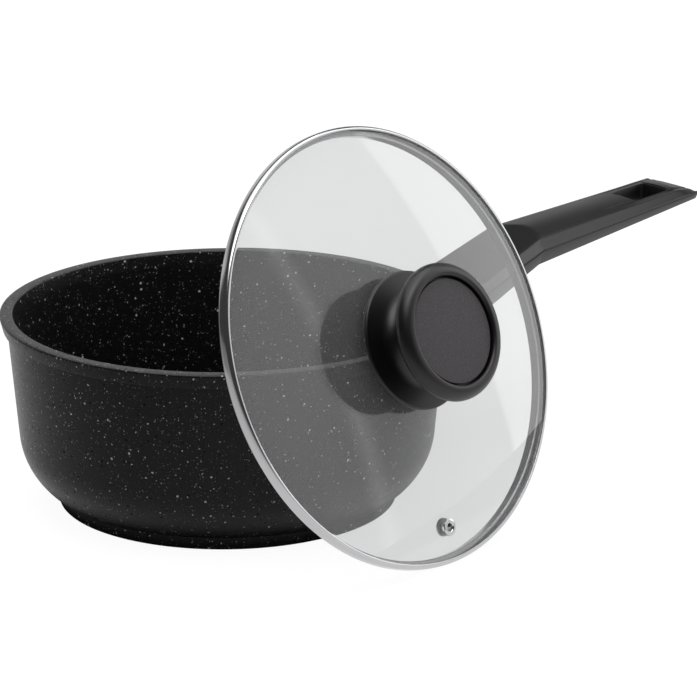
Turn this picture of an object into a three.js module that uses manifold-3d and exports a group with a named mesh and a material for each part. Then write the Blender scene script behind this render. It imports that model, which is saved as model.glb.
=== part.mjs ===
// Saucepan with a glass lid, built from its separate pieces: a cast pan with its base plate,
// a moulded handle screwed to a cast tang, and a domed glass lid with its steel band, vent
// eyelet and knob. The lid is off the pan. It stands on its edge beside it and leans on the rim.
// Millimetres, +Z up, origin at the centre of the pan's underside, +X along the handle.
import * as THREE from 'three';
import { mergeVertices } from 'three/addons/utils/BufferGeometryUtils.js';
import Module from 'manifold-3d';

const wasm = await Module();
wasm.setup();

const degrees = THREE.MathUtils.degToRad;

// ---------------------------------------------------------------- driving dimensions

const FIT_GAP = 0.3; // left between pieces that seat on or pass through each other

// Pan
const PAN_HEIGHT = 91; // underside to rim
const RIM_RADIUS = 105.3; // outer edge of the flared rim
const RIM_OPENING_RADIUS = 99; // where a lid drops in
const RIM_BAND_HEIGHT = 6.5;
const RIM_BAND_TAPER = 1.7; // radius lost down the band
const RIM_STEP = 2; // how far the band stands out from the wall
const RIM_ROUND = 1.2;
const WALL_THICKNESS = 3.6;
const WALL_DRAFT = degrees(5.1);
const CORNER_HEIGHT = 32.4; // where the wall turns into the bottom corner
const CORNER_RADIUS = 35;
const CORNER_EDGE_HEIGHT = 6.9; // lower edge of the corner, above the foot
const INNER_CORNER_RADIUS = 28;
const FLOOR_THICKNESS = 6.5;
const FOOT_RADIUS = 79;
const FOOT_CHAMFER = 0.8;
const PLATE_RADIUS = 66;
const PLATE_THICKNESS = 1.5;
const PLATE_GROOVES = [30, 50]; // radii of the turned grooves
const PLATE_GROOVE_WIDTH = 1.6;
const PLATE_GROOVE_DEPTH = 0.5;

// Handle
const HANDLE_ROOT_X = 112; // where the handle meets the pan's lug
const HANDLE_BEND_X = 187;
const HANDLE_END_X = 301.4;
const HANDLE_ROOT_HEIGHT = 63.8; // height of the side ridges at the root
const NECK_RISE = degrees(18.2);
const GRIP_RISE = degrees(4.5);
const HANDLE_TIP_LENGTH = 10; // the top slopes down over this length
const TIP_ROUND = 0.8;
const TIP_TOP_SHARE = 0.25; // share of the top's height left where the tip's round starts
const SLOT_START_X = 263.5;
const SLOT_LENGTH = 24.3;
const SLOT_HALF_WIDTH = 9.2;
const SLOT_CORNER_RADIUS = 2;
const LUG_MARGIN = 0.8; // how far the lug's outline stays inside the handle's
const LUG_FLARE = 3; // how far the lug spreads where it meets the wall
const NECK_TRIM = 0.15; // how far the flat neck top lies below its creases
const TANG_LENGTH = 28;
const TANG_HALF_WIDTH = 12;
const TANG_THICKNESS = 7;
const TANG_LIFT = -4.2; // tang's middle, measured from the side ridges
const TANG_CORNER = 1.2;
const HANDLE_SCREW_SETBACK = 15; // from the root to the screw's axis
const HANDLE_SCREW_FLOOR = 2.2; // handle material left under the tang
const HANDLE_SCREW_LENGTH = 9;
const SCREW_RADIUS = 2.4;
const SCREW_HEAD_RADIUS = 4.6;
const SCREW_HEAD_HEIGHT = 2.2;
const HEAD_EDGE_SHARE = 1 / 3; // chamfer of a screw's head and tip, as a share of the head's height
const DRIVE_SIZE = 4.6; // span of the cross recess
const DRIVE_WIDTH = 1;
const DRIVE_DEPTH = 1.2;
const LOCK_WASHER_THICKNESS = 1;
const LOCK_WASHER_WIDTH = 1.5;
const LOCK_WASHER_SPLIT = 0.9;

// Lid, in its own frame: axis +Z, origin in the middle of its steel band
const LID_RADIUS = 101;
const GLASS_THICKNESS = 4;
const GLASS_CROWN = 10.5; // top of the dome above the middle of the band
const GLASS_FLAT_WIDTH = 6; // flat margin that the band grips
const GLASS_EDGE_ROUND = 1.2;
const BAND_METAL = 0.6;
const BAND_TOP_WIDTH = 4.5;
const BAND_SEAT_WIDTH = 5.9;
const BAND_LIP_DEPTH = 6.1;
const VENT_INSET = 16; // from the lid's edge to the vent's axis
const VENT_HOLE_RADIUS = 1.7;
const VENT_BARREL_METAL = 0.6;
const VENT_FLANGE_RADIUS = 4;
const VENT_FLANGE_THICKNESS = 0.8;
const VENT_WASHER_RADIUS = 4.2;
const VENT_WASHER_THICKNESS = 0.8;
const VENT_CURL_WIDTH = 0.7;

// Knob
const KNOB_GASKET_RADIUS = 20.5;
const KNOB_GASKET_THICKNESS = 1.2;
const KNOB_FLANGE_RADIUS = 31.7;
const KNOB_FLANGE_HEIGHT = 4.1; // from the knob's foot to the flange's widest line
const KNOB_FLANGE_EDGE = 1.1; // radius of its rounded edge
const KNOB_FOOT_RADIUS = 21.5;
const KNOB_NECK_RADIUS = 16.8;
const KNOB_NECK_HOLLOW = 7.2; // depth of the neck's hollow
const KNOB_STEP_WIDTH = 2; // small step under the head
const KNOB_STEP_HEIGHT = 1.2;
const KNOB_HEAD_DEPTH = 6.2; // from the head's widest line down to the step
const KNOB_HEAD_RADIUS = 31.4;
const KNOB_HEAD_HEIGHT = 24.4; // from the foot to the head's widest line
const KNOB_BEAD_RADIUS = 2.6; // rounding of the head's widest line
const KNOB_LIP_RADIUS = 27.3; // crest of the ring round the inset disc
const KNOB_LIP_ROUND = 1.5;
const KNOB_HEIGHT = 29.7; // from the foot to the lip's crest
const KNOB_RECESS_DEPTH = 4.4;
const KNOB_DISC_RADIUS = 23.7;
const KNOB_DISC_THICKNESS = 1.6;
const KNOB_INSERT_RADIUS = 4.5;
const KNOB_INSERT_LENGTH = 12;
const KNOB_SCREW_REACH = 11; // how far the screw runs into the knob
const KNOB_SCREW_HEAD_RADIUS = 7;
const KNOB_SCREW_HEAD_HEIGHT = 4;
const STEEL_WASHER_RADIUS = 9.5;
const STEEL_WASHER_THICKNESS = 1.4;
const SEAL_WASHER_RADIUS = 8.5;
const SEAL_WASHER_THICKNESS = 1.7;

// How the lid leans
const LEAN_HEADING = degrees(-83.8); // way the knob points, seen from above
const LEAN_BACK = degrees(22); // how far the lid's axis points above level
const LEAN_SIDE = -4; // how far beside the pan's axis the lid's axis passes

// Facets round a full turn
const LARGE_TURN = 64;
const KNOB_TURN = 40;
const SMALL_TURN = 24;

// Facets of a profile's arcs
const CORNER_STEPS = 7;
const INNER_CORNER_STEPS = 6;
const DOME_STEPS = 5;
const HOLLOW_STEPS = 8;
const BEAD_STEPS = 4;
const EDGE_STEPS = 3;

const CUT_MARGIN = 5; // how far a cut runs past the face that it opens

// ---------------------------------------------------------------- materials

const MATERIALS = {
  coatedCasting: { color: 0x1b1b1c, roughness: 0.62, metalness: 0.1 },
  baseSteel: { color: 0x8d8f92, roughness: 0.4, metalness: 1 },
  bakelite: { color: 0x2a2a2c, roughness: 0.5, metalness: 0 },
  discPlastic: { color: 0x3a393b, roughness: 0.6, metalness: 0 },
  polishedSteel: { color: 0xc9cacc, roughness: 0.15, metalness: 1 },
  fastenerSteel: { color: 0xa9abae, roughness: 0.35, metalness: 1 },
  brass: { color: 0xb08d4a, roughness: 0.35, metalness: 1 },
  silicone: { color: 0xdcdcda, roughness: 0.7, metalness: 0 },
  glass: { color: 0xdfe3e2, roughness: 0.03, metalness: 0, transparent: true, opacity: 0.35 },
};

// ---------------------------------------------------------------- solids from geometries

/** Turns a closed BufferGeometry into a manifold solid, with its faces pointing out. */
function solid(geometry) {
  const bare = geometry.clone();
  bare.deleteAttribute('normal');
  bare.deleteAttribute('uv');
  const merged = mergeVertices(bare);
  const points = merged.attributes.position;
  const [a, b, c] = [new THREE.Vector3(), new THREE.Vector3(), new THREE.Vector3()];
  const corners = [];
  let volume = 0;
  for (let i = 0; i < merged.index.count; i += 3) {
    const face = [0, 1, 2].map((k) => merged.index.getX(i + k));
    if (new Set(face).size < 3) continue;
    a.fromBufferAttribute(points, face[0]);
    b.fromBufferAttribute(points, face[1]);
    c.fromBufferAttribute(points, face[2]);
    volume += a.dot(b.cross(c));
    corners.push(face);
  }
  const triVerts = corners.flatMap(([p, q, r]) => (volume < 0 ? [p, r, q] : [p, q, r]));
  return new wasm.Manifold(new wasm.Mesh({
    numProp: 3,
    vertProperties: Float32Array.from(points.array),
    triVerts: Uint32Array.from(triVerts),
  }));
}

/** A named mesh of a manifold solid. */
function piece(name, material, shape) {
  const { vertProperties, triVerts } = shape.getMesh();
  const geometry = new THREE.BufferGeometry();
  geometry.setAttribute('position', new THREE.BufferAttribute(Float32Array.from(vertProperties), 3));
  geometry.setIndex(new THREE.BufferAttribute(Uint32Array.from(triVerts), 1));
  geometry.computeVertexNormals();
  const mesh = new THREE.Mesh(geometry, new THREE.MeshStandardMaterial(MATERIALS[material]));
  mesh.name = name;
  return mesh;
}

/** Revolves a profile of [radius, height] points about +Z. The profile closes on itself. */
function turned(profile, segments) {
  const points = [...profile, profile[0]].map(([r, z]) => new THREE.Vector2(r, z));
  return solid(new THREE.LatheGeometry(points, segments).rotateX(Math.PI / 2));
}

/** A ring or a disc of square section, from one height to another. */
function ring(innerRadius, outerRadius, bottom, top, segments = SMALL_TURN) {
  const section = [[innerRadius, bottom], [outerRadius, bottom], [outerRadius, top], [innerRadius, top]];
  return turned(section, segments);
}

/** Points of an arc as [radius, height] pairs. Angles are in radians from the outward direction. */
function arc(centreRadius, centreHeight, radius, from, to, steps) {
  const curve = new THREE.EllipseCurve(centreRadius, centreHeight, radius, radius, from, to, to < from);
  return curve.getPoints(steps).map((p) => [p.x, p.y]);
}

/** Joins rings of equally many points, in order along +X, into one solid with flat ends. */
function loft(rings) {
  const count = rings[0].length;
  const index = [];
  for (let row = 0; row < rings.length - 1; row += 1) {
    for (let i = 0; i < count; i += 1) {
      const a = row * count + i;
      const b = row * count + ((i + 1) % count);
      index.push(a, b, b + count, a, b + count, a + count);
    }
  }
  const addCap = (row, facing) => {
    const outline = rings[row].map((p) => new THREE.Vector2(p.y, p.z));
    for (const face of THREE.ShapeUtils.triangulateShape(outline, [])) {
      const area = THREE.ShapeUtils.area(face.map((i) => outline[i]));
      const ordered = area * facing > 0 ? face : [...face].reverse();
      index.push(...ordered.map((i) => row * count + i));
    }
  };
  addCap(0, -1);
  addCap(rings.length - 1, 1);
  const geometry = new THREE.BufferGeometry();
  const positions = rings.flat().flatMap((p) => [p.x, p.y, p.z]);
  geometry.setAttribute('position', new THREE.Float32BufferAttribute(positions, 3));
  geometry.setIndex(index);
  return solid(geometry);
}

/** A box given by its size and centre. */
function block([width, depth, height], [x, y, z]) {
  return solid(new THREE.BoxGeometry(width, depth, height).translate(x, y, z));
}

// ---------------------------------------------------------------- pan

const bandBottomRadius = RIM_RADIUS - RIM_BAND_TAPER;
const wallTop = { radius: bandBottomRadius - RIM_STEP, height: PAN_HEIGHT - RIM_BAND_HEIGHT };

/** Outer radius of the drafted wall at a height. */
function wallRadius(height) {
  return wallTop.radius - (wallTop.height - height) * Math.tan(WALL_DRAFT);
}

/** The pan's outside, as a solid body: foot, corner, wall and rim band. */
function panOutside() {
  const centreRadius = wallRadius(CORNER_HEIGHT) - CORNER_RADIUS * Math.cos(WALL_DRAFT);
  const centreHeight = CORNER_HEIGHT + CORNER_RADIUS * Math.sin(WALL_DRAFT);
  const edgeAngle = Math.asin((CORNER_EDGE_HEIGHT - centreHeight) / CORNER_RADIUS);
  return turned([
    [0, 0],
    [FOOT_RADIUS - FOOT_CHAMFER, 0],
    [FOOT_RADIUS, FOOT_CHAMFER],
    [FOOT_RADIUS, CORNER_EDGE_HEIGHT - FOOT_CHAMFER],
    ...arc(centreRadius, centreHeight, CORNER_RADIUS, edgeAngle, -WALL_DRAFT, CORNER_STEPS),
    [wallTop.radius, wallTop.height - RIM_ROUND],
    [wallTop.radius + RIM_ROUND, wallTop.height],
    [bandBottomRadius, wallTop.height],
    ...arc(RIM_RADIUS - RIM_ROUND, PAN_HEIGHT - RIM_ROUND, RIM_ROUND, 0, Math.PI / 2, EDGE_STEPS),
    [0, PAN_HEIGHT],
  ], LARGE_TURN);
}

/** The space inside the pan, open through the rim. */
function panCavity() {
  const floorCentre = FLOOR_THICKNESS + INNER_CORNER_RADIUS;
  const innerWall = (height) => wallRadius(height) - WALL_THICKNESS / Math.cos(WALL_DRAFT);
  const tangentHeight = floorCentre - INNER_CORNER_RADIUS * Math.sin(WALL_DRAFT);
  const cornerCentre = innerWall(tangentHeight) - INNER_CORNER_RADIUS * Math.cos(WALL_DRAFT);
  const aboveRim = PAN_HEIGHT + RIM_ROUND;
  return turned([
    [0, FLOOR_THICKNESS],
    ...arc(cornerCentre, floorCentre, INNER_CORNER_RADIUS, -Math.PI / 2, -WALL_DRAFT, INNER_CORNER_STEPS),
    [innerWall(wallTop.height), wallTop.height],
    [RIM_OPENING_RADIUS - RIM_ROUND / 2, PAN_HEIGHT - RIM_ROUND],
    [RIM_OPENING_RADIUS + RIM_ROUND / 2, PAN_HEIGHT],
    [RIM_OPENING_RADIUS + RIM_ROUND / 2, aboveRim],
    [0, aboveRim],
  ], LARGE_TURN);
}

/** Steel plate pressed into the underside, with turned grooves. */
function basePlate() {
  const grooves = PLATE_GROOVES.flatMap((radius) => [
    [radius - PLATE_GROOVE_WIDTH / 2, 0],
    [radius - PLATE_GROOVE_WIDTH / 2, PLATE_GROOVE_DEPTH],
    [radius + PLATE_GROOVE_WIDTH / 2, PLATE_GROOVE_DEPTH],
    [radius + PLATE_GROOVE_WIDTH / 2, 0],
  ]);
  return turned([
    [0, 0],
    ...grooves,
    [PLATE_RADIUS, 0],
    [PLATE_RADIUS, PLATE_THICKNESS],
    [0, PLATE_THICKNESS],
  ], LARGE_TURN);
}

// ---------------------------------------------------------------- handle

const neckLength = HANDLE_BEND_X - HANDLE_ROOT_X;
const bendHeight = HANDLE_ROOT_HEIGHT + neckLength * Math.tan(NECK_RISE);

/** Height of the handle's side ridges at a distance from the pan's axis. */
function ridgeHeight(x) {
  if (x <= HANDLE_BEND_X) return HANDLE_ROOT_HEIGHT + (x - HANDLE_ROOT_X) * Math.tan(NECK_RISE);
  return bendHeight + (x - HANDLE_BEND_X) * Math.tan(GRIP_RISE);
}

// The handle's section at its root, bend and end: half widths of its ridges, creases and
// underside, then heights. Ridges are the datum. The top rises from a crease to a shoulder at the
// slot's side, with a bow in between, and from the shoulders to a crown in the middle.
const SECTIONS = {
  root: { ridge: 25.4, crease: 21.8, base: 22.5, drop: 13.2, rise: 2.2, shoulder: 1.6, bow: 0.5, crown: 0.7 },
  bend: { ridge: 22.4, crease: 17.5, base: 18.9, drop: 8.2, rise: 3.8, shoulder: 1.6, bow: 0.5, crown: 0.7 },
  end: { ridge: 18.5, crease: 12.5, base: 16.9, drop: 4, rise: 2.2, shoulder: 0.4, bow: 0, crown: 0.4 },
};
const UNDERSIDE_BULGE = 1.2;
const CROWN_HALFWAY = 3 / 4; // share of a parabola's height, halfway between its foot and crest

/** The handle's section sizes at a distance from the pan's axis. */
function sectionSizes(x) {
  const onNeck = x <= HANDLE_BEND_X;
  const [from, to] = onNeck ? [SECTIONS.root, SECTIONS.bend] : [SECTIONS.bend, SECTIONS.end];
  const share = onNeck
    ? (x - HANDLE_ROOT_X) / neckLength
    : (x - HANDLE_BEND_X) / (HANDLE_END_X - HANDLE_BEND_X);
  const mix = (key) => THREE.MathUtils.lerp(from[key], to[key], share);
  return Object.fromEntries(Object.keys(from).map((key) => [key, mix(key)]));
}

/**
 * One ring of the handle: flat underside, sloping sides up to the ridges, flanks up to the
 * creases and a crowned top. A margin draws the ring in, and topShare lowers its top.
 */
function handleRing(x, margin = 0, topShare = 1) {
  const size = sectionSizes(x);
  const ridge = ridgeHeight(x);
  const crease = size.crease - margin;
  const underside = ridge - size.drop + margin;
  const top = (height) => ridge - margin + topShare * (size.rise + height);
  const half = [
    [size.base - margin, underside],
    [size.ridge - margin, ridge],
    [crease, top(0)],
    [(crease + SLOT_HALF_WIDTH) / 2, top((size.shoulder + size.bow) / 2)],
    [SLOT_HALF_WIDTH, top(size.shoulder)],
    [SLOT_HALF_WIDTH / 2, top(size.shoulder + CROWN_HALFWAY * size.crown)],
  ];
  const otherHalf = half.map(([y, z]) => [-y, z]).reverse();
  const outline = [
    [0, underside - UNDERSIDE_BULGE],
    ...half,
    [0, top(size.shoulder + size.crown)],
    ...otherHalf,
  ];
  return outline.map(([y, z]) => new THREE.Vector3(x, y, z));
}

/** The space above the neck's flat top, from a distance to past the bend. */
function neckRelief(fromX, depth) {
  const creaseHeight = (x) => {
    const share = (x - HANDLE_ROOT_X) / neckLength;
    const rise = THREE.MathUtils.lerp(SECTIONS.root.rise, SECTIONS.bend.rise, share);
    return HANDLE_ROOT_HEIGHT + (bendHeight - HANDLE_ROOT_HEIGHT) * share + rise;
  };
  const ringAt = (x) => {
    const bottom = creaseHeight(x) - depth;
    const top = bottom + SECTIONS.root.ridge;
    const outline = [[SECTIONS.root.ridge, bottom], [SECTIONS.root.ridge, top], [-SECTIONS.root.ridge, top],
      [-SECTIONS.root.ridge, bottom]];
    return outline.map(([y, z]) => new THREE.Vector3(x, y, z));
  };
  return loft([ringAt(fromX), ringAt(HANDLE_BEND_X + SECTIONS.bend.crease)]);
}

/** A rounded block that follows the neck: the tang, or its socket when grown by a gap. */
function tang(fromX, toX, gap) {
  const half = TANG_HALF_WIDTH + gap;
  const thick = TANG_THICKNESS / 2 + gap;
  const corner = TANG_CORNER + gap;
  const ringAt = (x) => {
    const middle = ridgeHeight(x) + TANG_LIFT;
    const outline = [
      [half - corner, -thick], [half, corner - thick], [half, thick - corner], [half - corner, thick],
      [corner - half, thick], [-half, thick - corner], [-half, corner - thick], [corner - half, -thick],
    ];
    return outline.map(([y, z]) => new THREE.Vector3(x, y, middle + z));
  };
  return loft([ringAt(fromX), ringAt(toX)]);
}

// The handle's screw is square to the neck. Its heights are from the tang's underside.
const screwX = HANDLE_ROOT_X + HANDLE_SCREW_SETBACK;
const screwSeat = -FIT_GAP - HANDLE_SCREW_FLOOR;
const screwHeadTop = screwSeat - LOCK_WASHER_THICKNESS - 2 * FIT_GAP;
const screwTip = screwHeadTop + HANDLE_SCREW_LENGTH;

/** Sets a solid that is built round +Z on the handle screw's axis. */
function atHandleScrew(shape) {
  const tangUnderside = ridgeHeight(screwX) + TANG_LIFT - TANG_THICKNESS / 2;
  return shape.rotate([0, -THREE.MathUtils.radToDeg(NECK_RISE), 0]).translate([screwX, 0, tangUnderside]);
}

function panBody() {
  const embedX = wallRadius(HANDLE_ROOT_HEIGHT) - WALL_THICKNESS;
  const lugEndX = HANDLE_ROOT_X - FIT_GAP;
  const lug = loft([
    handleRing(embedX - LUG_FLARE, LUG_MARGIN - LUG_FLARE),
    handleRing(embedX + WALL_THICKNESS + LUG_FLARE, LUG_MARGIN),
    handleRing(lugEndX, LUG_MARGIN),
  ]).subtract(neckRelief(embedX - CUT_MARGIN, LUG_MARGIN));
  const tangEndX = HANDLE_ROOT_X + TANG_LENGTH;
  const pocket = ring(0, PLATE_RADIUS + FIT_GAP, -FIT_GAP, PLATE_THICKNESS + FIT_GAP, LARGE_TURN);
  return panOutside()
    .add(lug)
    .add(tang(embedX + WALL_THICKNESS, tangEndX, 0))
    .subtract(panCavity())
    .subtract(pocket)
    .subtract(atHandleScrew(ring(0, SCREW_RADIUS + FIT_GAP, screwSeat, screwTip + FIT_GAP)));
}

/** A rectangle with round corners, centred on the origin. */
function roundedRectangle(length, width, radius) {
  const [x, y] = [length / 2 - radius, width / 2 - radius];
  const quarter = Math.PI / 2;
  const shape = new THREE.Shape();
  shape.absarc(x, y, radius, 0, quarter).absarc(-x, y, radius, quarter, 2 * quarter);
  shape.absarc(-x, -y, radius, 2 * quarter, 3 * quarter).absarc(x, -y, radius, 3 * quarter, 4 * quarter);
  return shape;
}

function handleBody() {
  const tipStart = HANDLE_END_X - HANDLE_TIP_LENGTH;
  const nearTip = HANDLE_END_X - TIP_ROUND;
  const body = loft([
    handleRing(HANDLE_ROOT_X),
    handleRing(HANDLE_BEND_X),
    handleRing(tipStart),
    handleRing(nearTip, 0, TIP_TOP_SHARE),
    handleRing(HANDLE_END_X, TIP_ROUND, 0),
  ]);
  const [left, right] = [SLOT_START_X, SLOT_START_X + SLOT_LENGTH];
  const slotBottom = ridgeHeight(left) - sectionSizes(left).drop - CUT_MARGIN;
  const slotTop = ridgeHeight(right) + sectionSizes(left).rise + CUT_MARGIN;
  const slotOutline = roundedRectangle(SLOT_LENGTH, 2 * SLOT_HALF_WIDTH, SLOT_CORNER_RADIUS);
  const slotOptions = { depth: slotTop - slotBottom, bevelEnabled: false, curveSegments: EDGE_STEPS };
  const slot = new THREE.ExtrudeGeometry(slotOutline, slotOptions)
    .translate(left + SLOT_LENGTH / 2, 0, slotBottom);
  const socketEnd = HANDLE_ROOT_X + TANG_LENGTH + FIT_GAP;
  const headRecess = ring(0, SCREW_HEAD_RADIUS + FIT_GAP, screwSeat - HANDLE_SCREW_SETBACK, screwSeat);
  return body
    .subtract(neckRelief(HANDLE_ROOT_X - CUT_MARGIN, NECK_TRIM))
    .subtract(solid(slot))
    .subtract(tang(HANDLE_ROOT_X - CUT_MARGIN, socketEnd, FIT_GAP))
    .subtract(atHandleScrew(ring(0, SCREW_RADIUS + FIT_GAP, 2 * screwSeat, 0)))
    .subtract(atHandleScrew(headRecess));
}

/** A pan-head screw pointing up: head below headTop, shank above it, cross recess in the head. */
function screw(headRadius, headHeight, headTop, shankLength) {
  const bottom = headTop - headHeight;
  const edge = headHeight * HEAD_EDGE_SHARE;
  const body = turned([
    [0, bottom],
    [headRadius - edge, bottom],
    [headRadius, bottom + edge],
    [headRadius, headTop],
    [SCREW_RADIUS, headTop],
    [SCREW_RADIUS, headTop + shankLength - edge],
    [SCREW_RADIUS - edge, headTop + shankLength],
    [0, headTop + shankLength],
  ], SMALL_TURN);
  return body
    .subtract(block([DRIVE_SIZE, DRIVE_WIDTH, 2 * DRIVE_DEPTH], [0, 0, bottom]))
    .subtract(block([DRIVE_WIDTH, DRIVE_SIZE, 2 * DRIVE_DEPTH], [0, 0, bottom]));
}

function handleScrew() {
  return atHandleScrew(screw(SCREW_HEAD_RADIUS, SCREW_HEAD_HEIGHT, screwHeadTop, HANDLE_SCREW_LENGTH));
}

/** Split spring washer under the handle screw's head. */
function lockWasher() {
  const inner = SCREW_RADIUS + FIT_GAP;
  const bottom = screwHeadTop + FIT_GAP;
  const washer = ring(inner, inner + LOCK_WASHER_WIDTH, bottom, bottom + LOCK_WASHER_THICKNESS);
  const cutSize = [2 * LOCK_WASHER_WIDTH, LOCK_WASHER_SPLIT, CUT_MARGIN];
  const cut = block(cutSize, [inner + LOCK_WASHER_WIDTH, 0, bottom]);
  return atHandleScrew(washer.subtract(cut));
}

// ---------------------------------------------------------------- lid

const channelRadius = LID_RADIUS - BAND_METAL; // inside of the steel band
const glassRadius = channelRadius - FIT_GAP;
const halfGlass = GLASS_THICKNESS / 2;
const halfBand = halfGlass + FIT_GAP + BAND_METAL;
const domeRadius = glassRadius - GLASS_FLAT_WIDTH; // where the dome starts
const domeRise = GLASS_CROWN - halfGlass;
const domeCurve = (domeRadius ** 2 + domeRise ** 2) / (2 * domeRise);

const domeMiddle = GLASS_CROWN - domeCurve; // height of the middle of the dome's curve

/** Height of the dome's upper face at a distance from the axis. */
function domeHeight(radius) {
  return domeMiddle + Math.sqrt(domeCurve ** 2 - radius ** 2);
}

const ventAt = LID_RADIUS - VENT_INSET; // from the lid's axis
const ventTilt = Math.asin(ventAt / domeCurve);
const ventBarrelRadius = VENT_HOLE_RADIUS + VENT_BARREL_METAL;

/** Sets a solid that is built round +Z, with the glass's top at height 0, at the vent. */
function atVent(shape) {
  return shape
    .rotate([0, THREE.MathUtils.radToDeg(ventTilt), 0])
    .translate([ventAt, 0, domeHeight(ventAt)]);
}

function lidGlass() {
  const startAngle = Math.asin(domeRadius / domeCurve);
  const dome = (offset, from, to) => {
    const [start, end] = [Math.PI / 2 - from, Math.PI / 2 - to];
    return arc(0, domeMiddle, domeCurve - offset, start, end, DOME_STEPS);
  };
  const centreBore = SCREW_RADIUS + 2 * FIT_GAP;
  const boreAngle = Math.asin(centreBore / domeCurve);
  const disc = turned([
    ...dome(GLASS_THICKNESS, boreAngle, startAngle),
    [glassRadius - GLASS_EDGE_ROUND, -halfGlass],
    [glassRadius, GLASS_EDGE_ROUND - halfGlass],
    [glassRadius, halfGlass - GLASS_EDGE_ROUND],
    [glassRadius - GLASS_EDGE_ROUND, halfGlass],
    ...dome(0, startAngle, boreAngle),
  ], LARGE_TURN);
  const vent = ring(0, ventBarrelRadius + FIT_GAP, -2 * GLASS_THICKNESS, GLASS_THICKNESS);
  return disc.subtract(atVent(vent));
}

/** Rolled steel band: channel round the glass, seat for the pan's rim and lip that drops into it. */
function lidBand() {
  const seat = -halfBand;
  const lipBottom = seat - BAND_LIP_DEPTH;
  const lipRadius = LID_RADIUS - BAND_SEAT_WIDTH;
  const channel = halfBand - BAND_METAL;
  return turned([
    [LID_RADIUS - BAND_METAL, seat],
    [LID_RADIUS, seat + BAND_METAL],
    [LID_RADIUS, halfBand - BAND_METAL],
    [LID_RADIUS - BAND_METAL, halfBand],
    [LID_RADIUS - BAND_TOP_WIDTH, halfBand],
    [LID_RADIUS - BAND_TOP_WIDTH, channel],
    [channelRadius, channel],
    [channelRadius, -channel],
    [lipRadius - BAND_METAL, -channel],
    [lipRadius - BAND_METAL, lipBottom],
    [lipRadius, lipBottom],
    [lipRadius, seat],
  ], LARGE_TURN);
}

/** Steel eyelet that lines the vent: flange above the glass, barrel through it, curl beneath. */
function ventEyelet() {
  const flangeBottom = FIT_GAP;
  const curlTop = -GLASS_THICKNESS - VENT_WASHER_THICKNESS - 3 * FIT_GAP;
  const curlBottom = curlTop - VENT_BARREL_METAL;
  return atVent(turned([
    [VENT_HOLE_RADIUS, curlBottom],
    [ventBarrelRadius + VENT_CURL_WIDTH, curlBottom],
    [ventBarrelRadius + VENT_CURL_WIDTH, curlTop],
    [ventBarrelRadius, curlTop],
    [ventBarrelRadius, flangeBottom],
    [VENT_FLANGE_RADIUS, flangeBottom],
    [VENT_FLANGE_RADIUS, flangeBottom + VENT_FLANGE_THICKNESS / 2],
    [VENT_FLANGE_RADIUS - VENT_FLANGE_THICKNESS, flangeBottom + VENT_FLANGE_THICKNESS],
    [ventBarrelRadius, flangeBottom + VENT_FLANGE_THICKNESS],
    [VENT_HOLE_RADIUS, flangeBottom + VENT_FLANGE_THICKNESS / 2],
  ], SMALL_TURN));
}

function ventWasher() {
  const top = -GLASS_THICKNESS - FIT_GAP;
  return atVent(ring(ventBarrelRadius + FIT_GAP, VENT_WASHER_RADIUS, top - VENT_WASHER_THICKNESS, top));
}

// ---------------------------------------------------------------- knob

const glassUnderside = GLASS_CROWN - GLASS_THICKNESS;
const knobFoot = GLASS_CROWN + KNOB_GASKET_THICKNESS + 2 * FIT_GAP;
const insertMouth = knobFoot + FIT_GAP;
const insertTop = insertMouth + KNOB_INSERT_LENGTH;
const sealTop = glassUnderside - FIT_GAP;
const steelWasherTop = sealTop - SEAL_WASHER_THICKNESS - FIT_GAP;
const knobScrewSeat = steelWasherTop - STEEL_WASHER_THICKNESS - FIT_GAP;
const knobScrewBottom = knobScrewSeat - KNOB_SCREW_HEAD_HEIGHT;

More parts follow.
